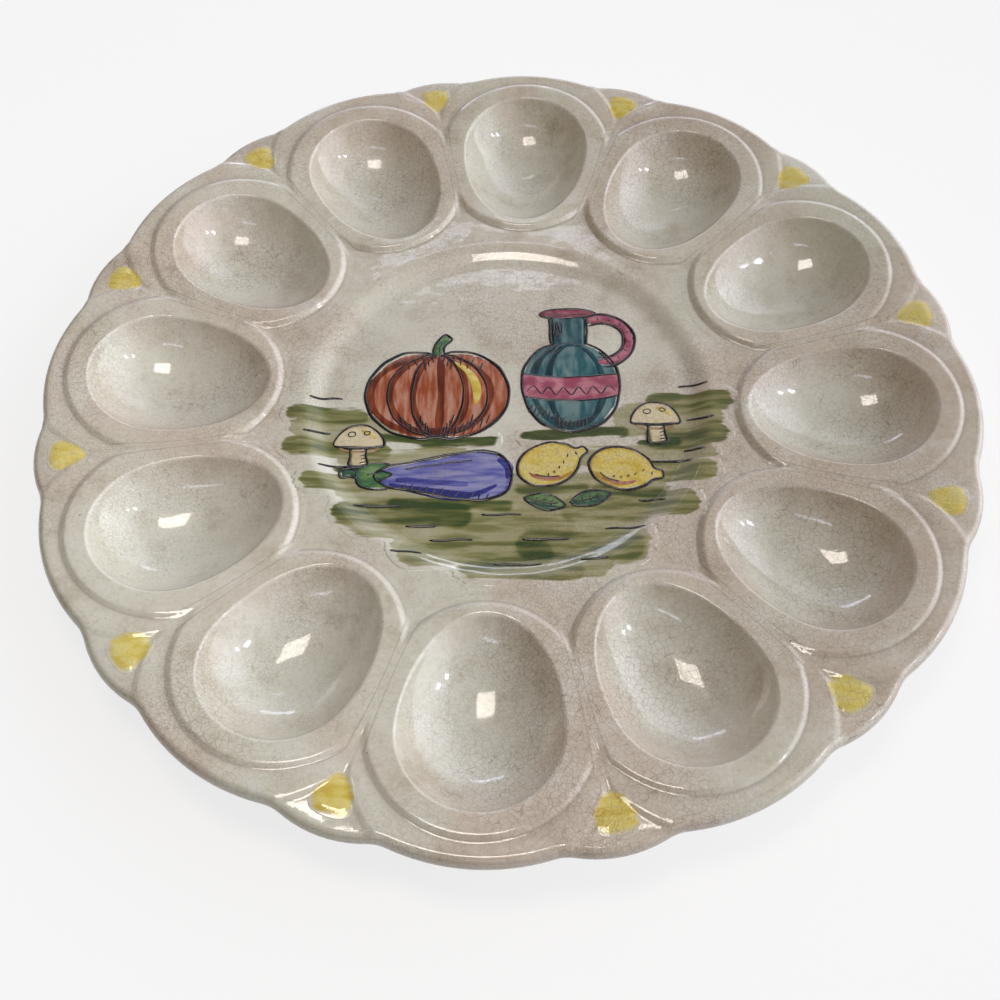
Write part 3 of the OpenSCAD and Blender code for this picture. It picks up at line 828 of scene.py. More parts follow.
def shaky(path, shake):
    """The path as an unsteady hand draws it."""
    phases = [HAND.uniform(0, 2 * math.pi) for _ in range(4)]
    out = []
    travelled = 0
    for i, p in enumerate(path):
        if i:
            travelled += (p - path[i - 1]).length
        dx = math.sin(travelled / 3.1 + phases[0]) + 0.6 * math.sin(travelled / 1.3 + phases[1])
        dy = math.sin(travelled / 3.7 + phases[2]) + 0.6 * math.sin(travelled / 1.5 + phases[3])
        out.append(p + shake * 0.5 * Vector((dx, dy)))
    return out


# %% Patches and strokes
EDGE_LIFT = -0.02  # height of a coat's edge over the clay
SUNK = 0.08  # depth of its hidden underside
PATCH_SHARES = (0, 0.2, 0.4, 0.58, 0.72, 0.82, 0.89, 0.94, 0.975)
COAT_SEAM = 0.0015  # points of a coat nearer than this are one


def on_clay(point, lift):
    """The point at a height over the clay's surface."""
    return Vector((point.x, point.y, platter_z(point.x, point.y) + lift))


def coat_grid(bm, columns, load):
    """A bent grid whose points keep how deep inside its edge they lie, and the brush's load."""
    inside = bm.verts.layers.float.get("inside") or bm.verts.layers.float.new("inside")
    loaded = bm.verts.layers.float.get("load") or bm.verts.layers.float.new("load")
    order = bent_grid(bm, [[point for point, _ in column] for column in columns])
    depths = [depth for column in columns for _, depth in column]
    for vert, depth in zip(order, depths):
        vert[inside], vert[loaded] = depth, load


def patch(bm, loop, lift, load=0.5, rise=0, slope=1.1):
    """A coat inside a closed outline, from its middle over the edge and back underneath."""
    middle = sum(loop, Vector((0, 0))) / len(loop)
    below = -SUNK - rise / 2
    columns = []
    for edge in loop + loop[:1]:
        reach = (edge - middle).length
        column = []
        for share in PATCH_SHARES:
            inside = reach * (1 - share)
            up = rise * smooth_share(inside / slope)
            column.append((on_clay(middle.lerp(edge, share), lift + up), inside))
        column += [(on_clay(edge, EDGE_LIFT), 0), (on_clay(edge, below), 0),
                   (on_clay(middle, below), reach)]
        columns.append(column)
    coat_grid(bm, columns, load)


def stroke(bm, path, half_w, lift, load=0.5, lanes=4, blunt=8, press=0.2, over=0):
    """A brush stroke or ink line: a flat lens along a path, round at its ends, pressed unevenly.

    A stroke over another coat counts as lying deeper, so its edge doesn't thin out to clay."""
    phase = HAND.uniform(0, 2 * math.pi)
    last = len(path) - 1
    ring = [(j, lift) for j in range(lanes + 1)] + [(j, -SUNK) for j in range(lanes - 1, 0, -1)]
    columns = []
    for i, p in enumerate(path):
        along = 2 * i / last - 1
        pressed = 1 + press * math.sin(i / 4.3 + phase)
        half = max(half_w * (1 - abs(along) ** blunt) ** 0.5 * pressed, 0)
        ahead = path[min(i + 1, last)] - path[max(i - 1, 0)]
        side = Vector((-ahead.y, ahead.x)).normalized()
        column = []
        for j, height in ring:
            across = 2 * j / lanes - 1
            height = height if abs(across) < 1 and half > 0 else EDGE_LIFT
            place = on_clay(p + side * half * across, height)
            column.append((place, over + half * (1 - abs(across))))
        columns.append(column + column[:1])
    coat_grid(bm, columns, load)


def shade(bm, path, half_w, lift, load):
    """A pointed stroke over a coat that is there already."""
    stroke(bm, path, half_w, lift, load, blunt=3, over=2)


def coat_piece(bm, name, material):
    """The finished coats of one colour as a piece that takes the place of the CAD model's coat."""
    bmesh.ops.remove_doubles(bm, verts=bm.verts, dist=COAT_SEAM)
    print(name + ":", len(bm.faces), "faces")
    piece = smooth_mesh(bm, name)
    piece.data.materials.append(material)
    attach(piece, "root")
    return piece


# %% [markdown]
# ## The rim pads
# In each narrow scallop stands a small rounded triangle, raised a little and brushed yellow by
# hand: ochre where the brush stopped, pale where it was nearly dry. The pads are alike in the
# mould, but the colour on each sits a little differently, so each gets its own small turn and
# size.

# %% Rim pads
PAD_HALF = [(-6.2, 1.5), (-4, 3.9), (-0.4, 5.8), (2.8, 6.3), (5.2, 4.7), (6, 1.7)]
PAD_POINTS = PAD_HALF + [(x, -y) for x, y in reversed(PAD_HALF)]
PAD_MIDDLE_R = 139.7
PAD_LIFT = 0.02
PAD_SLOPE = 3.2
pad_yellow = glazed("pad_yellow", "#DCCB66", "#C2A33C", streak=(4.5, 2.2), ragged=0.6, thin=0.7,
                    border=0, soft=1.7)

for k in range(1, COUNT + 1):
    direction = FIRST_HOLLOW + PITCH / 2 - PITCH * k
    a = math.radians(direction)
    middle = (PAD_MIDDLE_R * math.cos(a), PAD_MIDDLE_R * math.sin(a))
    turn = direction + HAND.uniform(-3, 3)
    size = HAND.uniform(0.96, 1.04)
    bm = bmesh.new()
    patch(bm, outline(PAD_POINTS, middle, turn, size, FINE_STEP), PAD_LIFT,
          load=HAND.uniform(0.1, 0.45), rise=PAD_RISE, slope=PAD_SLOPE)
    pad = coat_piece(bm, "rim_pad_%02d" % k, pad_yellow)
    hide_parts("yellow_pad_%02d" % k)

# %% [markdown]
# ## The painted ground
# Broad watery strokes of olive green run level across the bottom of the well and over its
# shoulder at both sides. Where strokes overlap, the colour adds up and their edges melt into each
# other, so the ground is one sheet: a grid that keeps only the painted places, where each point
# knows how deep it lies inside the nearest stroke and how much colour all the strokes leave
# there. It is extruded down into the glaze, which closes it.

# %% Green ground
GROUND = [  # x and y of the middle, length, half width, load
    (-2, -34, 106, 6.5, -0.05), (-4, -44, 96, 7.5, 0), (4, -54, 80, 8, 0),
    (-34, -22, 44, 3.2, -0.1), (42, -22, 50, 4, -0.05), (52, -8, 36, 7, -0.05),
    (-53, -11, 36, 6, -0.1), (8, -62, 48, 5.5, 0.1), (-59, -6, 28, 3.6, 0.6),
    (60, -1.5, 29, 4.6, 0.5), (-55, -19, 36, 4.2, 0.45), (58, -15, 28, 4.6, 0.6),
    (-47, -31, 38, 3.8, 0.35), (47, -29, 40, 4.8, 0.3), (-33, -43, 44, 4.6, 0.6),
    (-2, -48, 46, 4, 0.2), (38, -41, 44, 5.4, 0.4), (-10, -57, 48, 5, 0.35),
    (22, -55, 40, 5.6, 0.5), (4, -64, 38, 3.6, 0.3), (-24, -15.5, 42, 2.4, 0.8),
    (22, -13.5, 36, 2.4, 0.8), (-18, -39.5, 40, 2.2, 0.7), (14, -34, 24, 2, 0.6),
    (38, -35.5, 24, 2, 0.6), (49, -17.5, 15, 1.8, 0.8), (-48, -26, 15, 1.8, 0.7)]
GROUND_W, GROUND_H = 158, 80
GROUND_MIDDLE = (1, -32)
GROUND_COLUMNS, GROUND_ROWS = 196, 140
GROUND_THICK = 0.06
GROUND_SUNK = 0.015
SWAY, SWAY_LENGTH = 0.7, 9
LOAD_RAMP = 1.6  # distance over which a stroke's load sets in
LOAD_START = 0.3  # share of it that lies outside the stroke's edge
WASH_EDGE = 2.4  # how far the sheet goes on past the strokes


def in_stroke(x, y, stroke_row, sway):
    """How deep a point lies inside one level stroke with round ends, in millimetres."""
    middle_x, middle_y, length, half_w, _ = stroke_row
    along = abs(x - middle_x) - (length / 2 - half_w)
    across = abs(y - middle_y - SWAY * math.sin(x / SWAY_LENGTH + sway))
    return half_w - math.hypot(max(along, 0), across)


def brush_ground():
    """The sheet of all the ground's strokes, closed underneath."""
    bm = bmesh.new()
    inside = bm.verts.layers.float.new("inside")
    loaded = bm.verts.layers.float.new("load")
    bmesh.ops.create_grid(bm, x_segments=GROUND_COLUMNS, y_segments=GROUND_ROWS, size=0.5)
    bmesh.ops.scale(bm, vec=(GROUND_W, GROUND_H, 1), verts=bm.verts)
    bmesh.ops.translate(bm, vec=(*GROUND_MIDDLE, 0), verts=bm.verts)
    sways = [HAND.uniform(0, 6) for _ in GROUND]
    for vert in bm.verts:
        depths = [in_stroke(vert.co.x, vert.co.y, row, sway) for row, sway in zip(GROUND, sways)]
        vert[inside] = max(depths)
        vert[loaded] = sum(row[-1] * smooth_share(depth / LOAD_RAMP + LOAD_START)
                           for row, depth in zip(GROUND, depths))
    bare = [vert for vert in bm.verts if vert[inside] < -WASH_EDGE]
    bmesh.ops.delete(bm, geom=bare, context="VERTS")
    bare = [vert for vert in bm.verts if not vert.link_faces]
    bmesh.ops.delete(bm, geom=bare, context="VERTS")
    for vert in bm.verts:
        rise = GROUND_THICK * smooth_share(vert[inside] / WASH_EDGE + 1)
        vert.co = on_clay(vert.co, rise - GROUND_SUNK)
    made = bmesh.ops.extrude_face_region(bm, geom=bm.faces[:], use_keep_orig=True)
    lower = [item for item in made["geom"] if isinstance(item, bmesh.types.BMVert)]
    bmesh.ops.translate(bm, vec=(0, 0, -SUNK), verts=lower)
    return bm


green_paint = glazed("green_paint", "#89864E", "#33471F", streak=(16, 2.2), ragged=1.5, thin=0.6,
                     border=0.1, soft=0.9)
ground = coat_piece(brush_ground(), "painted_ground", green_paint)
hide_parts("green_ground_paint")


# %% [markdown]
# ## The still life
# A pumpkin, a jug, an aubergine, two lemons, leaves and mushrooms, each laid in with one or two
# colours. The brush goes round each thing's form, and leaves a pale streak where light would fall
# on it. The colours don't quite reach their outlines, or cross them a little. The numbers after a
# path are a stroke's half width, its height over the clay and its load. No two coats that cross
# have the same height.

# %% Places of the things, and rust: the pumpkin
PUMPKIN = (-23.2, 2.9)
JUG = (21.5, 6.4)
AUBERGINE = (-20.9, -29)
AUBERGINE_CAP = (-42.9, -29)
LEMONS = [((13.3, -24.9), 24), ((36.5, -26.7), -12)]
LEAVES = [((11.6, -38.9), -12), ((26.1, -37.7), 16)]
MUSHROOMS = [(48.7, -9.3), (-48.1, -17.4)]
PUMPKIN_EDGE = [
    (0, 16.4), (5.5, 18), (13.5, 16.6), (20.6, 11), (23.8, 2), (22, -7.4), (15, -14.6),
    (6.4, -17.6), (0, -17), (-6, -17.7), (-15, -14.8), (-22.3, -7.2), (-23.9, 2.4), (-20.4, 11.2),
    (-13, 16.9), (-5, 17.8)]
PUMPKIN_HALF_W = 24
NEXT_STROKE = 0.003  # rise from one stroke of a coat to the next

rust_paint = glazed("rust_paint", "#AC5326", "#56200E", streak=(2.2, 11), ragged=0.6, thin=0.6)
bm = bmesh.new()
patch(bm, outline(PUMPKIN_EDGE, moved(PUMPKIN, 0.5, -0.3), size=0.97), 0.13, 0.25)
for i, rib in enumerate([-0.93, -0.66, -0.34, 0.05, 0.4, 0.74]):
    arc = oval(PUMPKIN, PUMPKIN_HALF_W * abs(rib), 16.2, 78, -156 if rib > 0 else 204)
    shade(bm, arc, 2.4 - 0.5 * abs(rib), 0.14 + NEXT_STROKE * i, 0.85)
shade(bm, oval(moved(PUMPKIN, 0, 1), 20, 16, 235, 70), 2.2, 0.165, 1)
for place, _ in LEMONS:
    stroke(bm, oval(moved(place, 0, 0.6), 8.4, 6.2, 215, 90), 0.9, 0.17, 0, blunt=2)
pumpkin_coat = coat_piece(bm, "pumpkin_and_shading", rust_paint)
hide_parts("rust_paint")

# %% Teal and rose: the jug
NECK = moved(JUG, 0, 19)
LIP = moved(JUG, 0, 30.9)
HANDLE = moved(JUG, 11.25, 19)
BELLY_LEFT = [(-5.6, 17.6), (-10.4, 15), (-15, 8.4), (-16.4, 0), (-14.6, -8.8), (-9.4, -15.8)]
BELLY_RIGHT = [(-x, y) for x, y in reversed(BELLY_LEFT)]
BELLY_EDGE = [*BELLY_LEFT, (0, -19), *BELLY_RIGHT, (0, 18.4)]
BAND_EDGE = [
    (-16.2, 4.6), (-8, 3.5), (0, 3.1), (8, 3.5), (16.2, 4.6), (16.3, 0), (15.9, -4.6), (8, -6),
    (0, -6.5), (-8, -6), (-15.9, -4.6), (-16.3, 0)]

teal_paint = glazed("teal_paint", "#23666C", "#0B3039", streak=(3, 10), ragged=0.5, thin=0.72)
bm = bmesh.new()
patch(bm, outline(BELLY_EDGE, moved(JUG, -0.3, -0.2), size=0.985), 0.15, 0.25)
stroke(bm, smooth_path(placed([(-0.2, -3), (0, 4), (0, 10.6)], NECK)), 6.1, 0.16, 0.4,
       lanes=8, blunt=14, press=0.03)
for i, side in enumerate((-0.78, -0.45, 0.66)):
    arc = oval(JUG, 16.5 * abs(side), 17.2, 68, -146 if side > 0 else 224)
    shade(bm, arc, 2.2, 0.17 + NEXT_STROKE * i, 0.9)
shade(bm, oval(moved(JUG, 0, 1), 12, 17, 232, 76), 2.4, 0.185, 1)
stroke(bm, smooth_path(placed([(-3.6, -1), (-3.8, 9)], NECK)), 1.5, 0.186, 1, blunt=4, over=2)
jug_coat = coat_piece(bm, "jug_coat", teal_paint)
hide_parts("teal_paint")

rose_paint = glazed("rose_paint", "#B8687A", "#7C2D44", streak=(4, 3), ragged=0.45, thin=0.7)
bm = bmesh.new()
patch(bm, outline(BAND_EDGE, JUG), 0.205, 0.4)
patch(bm, oval(LIP, 9.4, 1.9), 0.205, 0.7)
stroke(bm, oval(HANDLE, 9.5, 9.5, 122, -226), 1.9, 0.207, 0.5, blunt=20, press=0.06)
rose_coat = coat_piece(bm, "jug_band_lip_and_handle", rose_paint)
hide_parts("rose_paint")

# %% Violet and leaf green: the aubergine, the stalks and the leaves
AUBERGINE_EDGE = [
    (-21.6, 0.2), (-18, 3.4), (-11, 5), (-3, 6.7), (6, 8.7), (14, 9.2), (20, 6.4), (22.2, 0.4),
    (20.4, -5.8), (14, -9), (6, -8.7), (-3, -6.9), (-11, -5.2), (-18, -3.6)]
CAP_EDGE = [
    (-5.4, 0.6), (-4.2, 3.6), (-0.4, 4.8), (4.9, 4.4), (2.3, 2.3), (6.2, 0.4), (2.3, -2),
    (4.6, -4.6), (-0.6, -4.6), (-4.3, -3.2)]
LEAF_EDGE = [
    (-6.5, 0), (-3.6, 2), (0, 2.8), (3.8, 1.9), (6.6, 0), (3.6, -2), (0, -2.8), (-3.8, -2)]
STALK = [(0, 15.6), (-0.4, 18.5), (0.8, 22), (3.4, 24.4)]

violet_paint = glazed("violet_paint", "#5C62B0", "#262A74", streak=(12, 2), ragged=0.55, thin=0.6)
bm = bmesh.new()
patch(bm, outline(AUBERGINE_EDGE, moved(AUBERGINE, 0.2, -0.3), size=0.98), 0.13, 0.2)
shade(bm, smooth_path([(-38, -32), (-26, -34.6), (-12, -36.2), (-3, -32.4)]), 2.4, 0.14, 1)
shade(bm, smooth_path([(-36, -30.4), (-24, -31.4), (-12, -32.4)]), 2.2, 0.145, 0.6)
shade(bm, smooth_path([(-3.4, -22.5), (0, -26), (0, -31)]), 1.7, 0.15, 0.9)
aubergine_coat = coat_piece(bm, "aubergine_coat", violet_paint)
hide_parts("violet_paint")

leaf_paint = glazed("leaf_paint", "#628A48", "#1F4F40", streak=(5, 2), ragged=0.4, thin=0.7)
bm = bmesh.new()
patch(bm, outline(CAP_EDGE, AUBERGINE_CAP, step=FINE_STEP), 0.21, 0.5)
stroke(bm, smooth_path([(-47, -28.6), (-50.2, -27.6), (-53, -28.2)]), 1.2, 0.212, 0.8)
stroke(bm, smooth_path(placed(STALK, PUMPKIN)), 1.9, 0.213, 0.6)
for i, (place, turn) in enumerate(LEAVES):
    patch(bm, outline(LEAF_EDGE, place, turn, step=FINE_STEP), 0.16, 0.3 + 0.4 * i)
    vein = smooth_path(placed([(-5, -0.9), (0, -1.5), (5, -0.8)], place, turn))
    shade(bm, vein, 0.9, 0.17, 1)
leaf_coat = coat_piece(bm, "leaves_and_stalks", leaf_paint)
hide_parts("leaf_green_paint")

# %% Lemon yellow and cream: the lemons and the mushrooms
LEMON_EDGE = [
    (-10.6, 0), (-8.4, 4.9), (-3, 7.6), (3, 7.5), (7.8, 5), (10.2, 2), (13, 1.4), (13.4, -1),
    (10.4, -2.2), (7.8, -5), (3, -7.6), (-3, -7.5), (-8.4, -4.8)]
MUSHROOM_CAP = [
    (-8, 0.2), (-7, 4), (-3.8, 7.1), (0, 8), (3.8, 7.1), (7, 4), (8, 0.2), (4, -0.5), (0, -0.7),
    (-4, -0.5)]
STEM = [(0, -0.6), (-0.1, -4), (0.3, -7.6)]

lemon_paint = glazed("lemon_paint", "#DCC652", "#AF8524", streak=(5, 3), ragged=0.5, thin=0.6)
bm = bmesh.new()
for i, (place, turn) in enumerate(LEMONS):
    patch(bm, outline(LEMON_EDGE, place, turn, 0.97), 0.13, 0.15 + 0.1 * i)
    shade(bm, oval(place, 8.6, 5.8, turn + 200, 110), 1.5, 0.14, 0.9)
for place in MUSHROOMS:
    stroke(bm, oval(moved(place, 0, 0.4), 5.8, 5.4, 20, 70), 1.3, 0.21, 0.2, blunt=2)
stroke(bm, oval(PUMPKIN, 13.2, 14.5, 70, -90), 2.2, 0.175, 0.3, blunt=2)
lemon_coat = coat_piece(bm, "lemon_coat", lemon_paint)
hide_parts("yellow_paint")

cream_paint = glazed("cream_paint", "#D8CBA4", "#94794E", streak=(3, 4), ragged=0.35, thin=0.8)
bm = bmesh.new()
for place in MUSHROOMS:
    patch(bm, outline(MUSHROOM_CAP, place, step=FINE_STEP), 0.19, 0.1)
    stroke(bm, smooth_path(placed(STEM, place)), 2.6, 0.185, 0.2, lanes=6, blunt=14, press=0.05)
    shade(bm, oval(moved(place, 0, -0.2), 6.6, 2.2, 350, -160), 0.8, 0.2, 1)
mushroom_coat = coat_piece(bm, "mushroom_coat", cream_paint)
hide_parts("cream_paint")

# %% [markdown]
# ## The ink lines
# The black lines come last, over the colours, quick and a little unsteady: outlines that overlap
# where they close, ribs, veins and gills, short hatching on the shaded sides, and level dashes
# for the ground.

# %% Ink
INK_LIFT = 0.24
INK_LIFT_STEP = 0.0005
INK_WIDENING = 1.55  # from the pen's width to the line's, as the ink spreads
ink_lines = bmesh.new()
drawn = []


def ink(path, half_w, shake=0.22, blunt=10):
    """One ink line; each lies a hair above the one before, so crossings stay clean."""
    lift = INK_LIFT + INK_LIFT_STEP * len(drawn)
    drawn.append(path)
    path = shaky(path, shake)
    stroke(ink_lines, path, half_w * INK_WIDENING, lift, HAND.uniform(0.5, 1), blunt=blunt,
           press=0.14)


def ink_round(loop, half_w, start=0.0):
    """A closed outline whose ends overlap a little."""
    first = int(start * len(loop))
    turned = loop[first:] + loop[:first]
    ink(turned + turned[:4], half_w)


def hatch(places, length, turn, half_w=0.22):
    """Short quick lines, all leaning the same way."""
    for place in places:
        a = math.radians(turn + HAND.uniform(-9, 9))
        reach = length * HAND.uniform(0.35, 0.6)
        way = Vector((math.cos(a), math.sin(a))) * reach
        middle = Vector(place)
        ink([middle + way * t / 4 for t in range(-4, 5)], half_w, 0.1, 4)


def level_path(place, length, bow):
    """A nearly level path with a slight sway."""
    points = [(-0.5, 0), (-0.2, bow), (0.15, -bow / 2), (0.5, bow / 2)]
    return smooth_path([moved(place, along * length, up) for along, up in points], step=1.0)


# %% Ink on the pumpkin and the jug
STALK_EDGE = [
    (-2, 16.2), (-1.9, 19), (-0.6, 22.4), (2.2, 25.6), (4.6, 23.6), (2.4, 21), (1.7, 18.6),
    (2.4, 16)]

ink_round(outline(PUMPKIN_EDGE, PUMPKIN), 0.42)
for rib in (0.36, 0.7):
    for start, sweep in ((86, -170), (94, 170)):
        ink(oval(PUMPKIN, PUMPKIN_HALF_W * rib, 16.9, start, sweep), 0.33)
ink(smooth_path(placed(STALK_EDGE, PUMPKIN)), 0.34)
ink(smooth_path(placed([(0, 17), (0.2, 20), (1.6, 22.4)], PUMPKIN)), 0.2)
for rib, side in ((0.36, 1), (0.7, 1), (0.98, 1), (0.36, -1), (0.7, -1)):
    spots = []
    for a in map(math.radians, (-70, -62, -54, -46, -38, 46, 56, 66)):
        spots.append((side * (PUMPKIN_HALF_W * rib * math.cos(a) - 1.6), 16.4 * math.sin(a)))
    hatch(placed(spots, PUMPKIN), 4.2, 90 - side * PUMPKIN_HALF_W * rib)

ink(smooth_path(placed(BELLY_EDGE[:-1], JUG)), 0.42)
for side in (-1, 1):
    ink(smooth_path(placed([(side * 6, -2), (side * 6.3, 4), (side * 6.6, 10.4)], NECK)), 0.38)
ink_round(oval(LIP, 9.8, 2.1), 0.36)
ink(oval(moved(LIP, 0, 0.3), 7.2, 0.8, 190, 160), 0.2)
ink(oval(HANDLE, 11.5, 11.5, 118, -212), 0.38)
ink(oval(HANDLE, 7.5, 7.5, 124, -232), 0.34)
for a in map(math.radians, range(-80, 121, 25)):
    spots = [((8.2 + 0.6 * t) * math.cos(a), (8.2 + 0.6 * t) * math.sin(a)) for t in range(5)]
    ink(placed(spots, HANDLE), 0.22, 0.1, 4)
ink(smooth_path(placed(BAND_EDGE[:5], JUG)), 0.34)
ink(smooth_path(placed(BAND_EDGE[6:11], JUG)), 0.34)
zigzag = []
for i in range(13):
    x = -15 + 2.5 * i
    band_middle = -1.6 - 1.1 * math.cos(math.radians(6 * x))
    zigzag.append((x, band_middle + (1.5 if i % 2 else -1.5)))
ink(smooth_path(placed(zigzag, JUG), step=0.6), 0.26, 0.15)
hatch([(JUG[0] - 13.6 + 1.5 * i, JUG[1] - 9.4 - 0.75 * i) for i in range(8)], 4.6, 70)
hatch([(JUG[0] - 4.6 + 1.3 * i, JUG[1] - 15.6) for i in range(8)], 3.4, 88)
hatch([(NECK[0] - 5 + 0.9 * i, NECK[1] + 5 + 0.2 * i) for i in range(4)], 7, 92)
hatch([(JUG[0] + 13.4 - 0.9 * i, JUG[1] + 9.4 + 1.2 * i) for i in range(4)], 3.6, 118)

# %% Ink on the fruit, the leaves and the mushrooms
AUBERGINE_STEM = [
    (-47.6, -27.2), (-50.4, -26.2), (-53.4, -26.9), (-53.2, -29.4), (-50.4, -29), (-47.6, -29.9)]
MUSHROOM_STEM = [
    (-2.7, -0.7), (-2.6, -4), (-2.9, -7.4), (0, -8.1), (3.1, -7.3), (2.7, -4), (2.7, -0.7)]

ink_round(outline(AUBERGINE_EDGE, AUBERGINE), 0.4, 0.1)
ink(smooth_path([(-33, -26.6), (-22, -24.6), (-11, -23.4)]), 0.24)
hatch([(-33 + 2.4 * i, -33.2 - 0.36 * i) for i in range(12)], 3, 62)
ink_round(outline(CAP_EDGE, AUBERGINE_CAP, step=FINE_STEP), 0.33)
ink(smooth_path(AUBERGINE_STEM), 0.32)
ink(smooth_path([(-45.4, -28.6), (-42.4, -28.2), (-39.6, -28.5)]), 0.2)
for place, turn in LEMONS:
    ink_round(outline(LEMON_EDGE, place, turn), 0.38, 0.3)
    ink(placed([(10.1, -1.6), (9.6, 0), (10, 1.5)], place, turn), 0.24, 0.05)
    ink(oval(place, 7.4, 4.8, turn + 205, 70), 0.24)
    spots = [(-2 + 2.2 * i, -3.6 + 0.25 * i * i) for i in range(5)]
    hatch(placed(spots, place, turn), 1.4, turn + 60, 0.2)
for place, turn in LEAVES:
    ink_round(outline(LEAF_EDGE, place, turn, step=FINE_STEP), 0.32)
    vein = [(-7.4 + 0.8 * i, 0.012 * (i - 8) ** 2 - 0.3) for i in range(16)]
    ink(placed(vein, place, turn), 0.22, 0.1)
    for along in (-3.2, -0.8, 1.6):
        for side in (1, -1):
            vein = [(along + 0.35 * t, side * 0.4 * t) for t in range(5)]
            ink(placed(vein, place, turn), 0.16, 0.05, 4)
for place in MUSHROOMS:
    ink_round(outline(MUSHROOM_CAP, place, step=FINE_STEP), 0.36)
    ink(smooth_path(placed(MUSHROOM_STEM, place), step=FINE_STEP), 0.34)
    ink(oval(moved(place, 0, 0.4), 6.6, 1.6, 200, 140), 0.22)
    hatch([(place[0] + 1.6, place[1] - 2.4 - 1.3 * i) for i in range(4)], 2, 20, 0.18)
    for dx, dy, half_w, half_h in ((-2.6, 4.4, 1.3, 0.9), (2.4, 5, 1, 0.7)):
        ink_round(oval(moved(place, dx, dy), half_w, half_h, step=0.4), 0.18)

# %% Ink dashes on the ground
DASHES = [  # x and y of the middle, length
    (-53, -25.5, 15), (52, -24.4, 14), (-17.4, -52.2, 14), (11.6, -52.2, 15), (36, -48.7, 13),
    (-60, 1.5, 11), (-62, -12.6, 9), (62, 5, 10), (63, -8.6, 9), (-41, -40, 15), (-27, -47.4, 10),
    (45, -38.6, 9), (-2, -43.4, 13), (3, -61, 15), (-31, -57, 10), (26, -60, 9), (60, -20.6, 7)]
for x, y, length in DASHES:
    ink(level_path((x, y), length, HAND.uniform(-0.4, 0.4)), 0.34, 0.15, 4)
ink_material = glazed("ink", "#100D0C", "#090807", streak=(3, 3))
line_piece = coat_piece(ink_lines, "ink_drawing", ink_material)
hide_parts("ink_lines")
print("ink lines:", len(drawn))

# %% [markdown]
# ## Floor, lamps and room
# The photograph's ground is plain white. The floor shows white to the camera and keeps a soft
# shadow, and the camera sees the room behind it white too. One warm lamp close overhead draws the
# small bright rectangle in every hollow. Two small cool windows on the right draw the paired
# spots beside it. Long narrow windows behind and in front draw soft streaks along the steps and
# the rim. Broad daylight from the right models the hollows: it is part of the world, with soft
# edges, so that the glaze shows no cut border.

# %% Floor
FLOOR_HALF_W = 3
FLOOR_DROP = 0.0002
FLOOR_PAINT = (0.56, 0.55, 0.53, 1)
FLOOR_GLOW = 1.24
GLOW_SHARE = 0.62  # the rest shows the shadow


def white_floor():
    """A pale diffuse floor that partly glows white for the camera and in reflections."""
    material = bpy.data.materials.new("white_floor")
    tree = bare_tree(material)
    path = add_node(tree, "LightPath").outputs
    shown = math_node(tree, "MAXIMUM", path["Is Camera Ray"], path["Is Glossy Ray"])
    share = math_node(tree, "MULTIPLY", shown, GLOW_SHARE)
    paint = add_node(tree, "BsdfDiffuse", {"Color": FLOOR_PAINT}).outputs[0]
    glow = add_node(tree, "Emission", {"Color": (1, 1, 1, 1), "Strength": FLOOR_GLOW}).outputs[0]
    blend = add_node(tree, "MixShader", {0: share, 1: paint, 2: glow})
    add_node(tree, "OutputMaterial", {0: blend.outputs[0]})
    return material


bm = bmesh.new()
bmesh.ops.create_grid(bm, x_segments=1, y_segments=1, size=FLOOR_HALF_W)
mesh = bpy.data.meshes.new("floor")
bm.to_mesh(mesh)
bm.free()
floor = added("floor", mesh)
floor.location.z = -FLOOR_DROP
floor.data.materials.append(white_floor())


# %% Lamps
WARM = (1.0, 0.92, 0.83)
COOL = (0.85, 0.92, 1.0)
LAVENDER = (0.82, 0.84, 1.0)
OVERHEAD = 0.9  # a lamp nearer to straight above than this sine isn't turned upright


def around(azimuth, elevation, distance=1):
    """A place or direction as seen from the middle of the platter."""
    a = math.radians(azimuth)
    e = math.radians(elevation)
    return distance * Vector((math.cos(e) * math.cos(a), math.cos(e) * math.sin(a), math.sin(e)))


def window(name, place, width, height, glow, colour):
    """A rectangular lamp that faces the platter, as bright as the given glow."""
    lamp = bpy.data.lights.new(name, "AREA")
    lamp.shape = "RECTANGLE"
    lamp.size, lamp.size_y = width, height
    lamp.energy = glow * math.pi * width * height
    lamp.color = colour
    if place.z > OVERHEAD * place.length:
        facing = Vector((0, 0, 1)).rotation_difference(place)
    else:
        facing = place.to_track_quat("Z", "Y")
    obj = added(name, lamp)
    obj.location = place
    obj.rotation_euler = facing.to_euler()


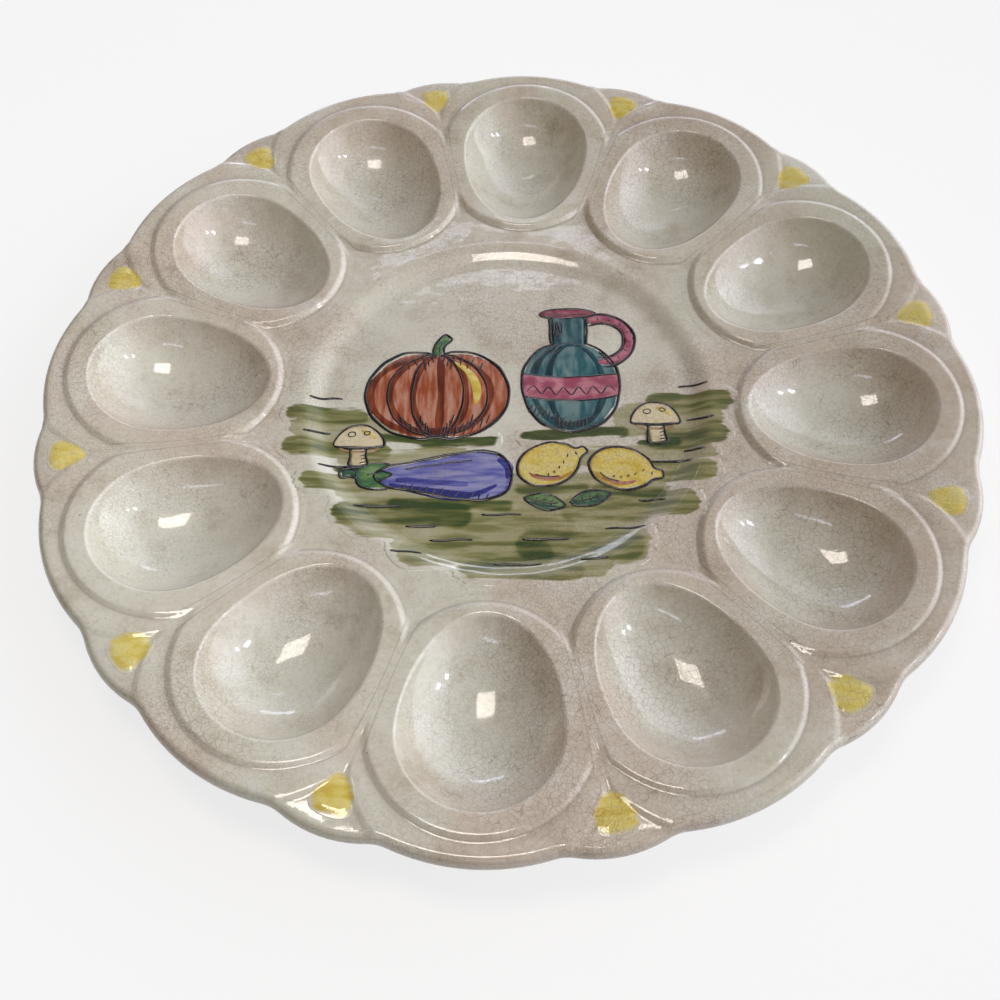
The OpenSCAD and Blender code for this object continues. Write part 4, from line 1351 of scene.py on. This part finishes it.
WINDOWS = [  # name, place, width, height, glow, colour
    ("lamp_above", Vector((-0.042, -0.039, 0.505)), 0.18, 0.12, 11.5, WARM),
    ("window_right", around(345, 42, 1.6), 0.11, 0.15, 20, COOL),
    ("window_right_low", around(354, 34, 1.6), 0.09, 0.12, 20, COOL),
    ("window_behind", around(97, 16, 1.8), 0.9, 0.14, 5.5, LAVENDER),
    ("window_behind_high", around(92, 46, 1.8), 0.5, 0.05, 3.5, LAVENDER),
    ("window_in_front", around(258, 50, 1.7), 0.7, 0.09, 4.5, LAVENDER)]
for row in WINDOWS:
    window(*row)

# %% Room
ROOM_DARK, ROOM_PALE, BACKDROP_WHITE = "#30251E", "#5C5C60", "#FAFAFA"
PALE_WALL = (0.7, 0.6, 0.38)
ROOM_GLOWS = [  # azimuth, elevation, full within and gone beyond these angles, colour, strength
    (2, 15, 8, 46, "#F1F3FF", 2.2),
    (45, 14, 8, 46, "#F1F3FF", 1.4),
    (315, 18, 8, 46, "#EFF2FF", 0.6),
    (92, 12, 8, 42, "#DFE2FB", 0.6),
    (322, 48, 8, 42, "#FFF4EA", 0.3)]


def room():
    """A dim warm room with daylight from the right and a pale wall behind."""
    world = bpy.data.worlds.new("room")
    tree = bare_tree(world)
    way = add_node(tree, "TexCoord").outputs["Generated"]
    share = mapped(tree, vector_node(tree, "DOT_PRODUCT", way, PALE_WALL), -0.6, 0.8)
    colour = mixed(tree, share, linear(ROOM_DARK), linear(ROOM_PALE))
    for azimuth, elevation, full, gone, tint, strength in ROOM_GLOWS:
        near = vector_node(tree, "DOT_PRODUCT", way, around(azimuth, elevation))
        full, gone = (math.cos(math.radians(angle)) for angle in (full, gone))
        glow = mapped(tree, near, gone, full, 0, strength)
        colour = mixed(tree, glow, colour, linear(tint), "ADD")
    seen = add_node(tree, "LightPath").outputs["Is Camera Ray"]
    colour = mixed(tree, seen, colour, linear(BACKDROP_WHITE))
    light = add_node(tree, "Background", {"Color": colour, "Strength": 1.0})
    add_node(tree, "OutputWorld", {0: light.outputs[0]})
    bpy.context.scene.world = world


room()
bpy.context.scene.view_settings.view_transform = "Standard"
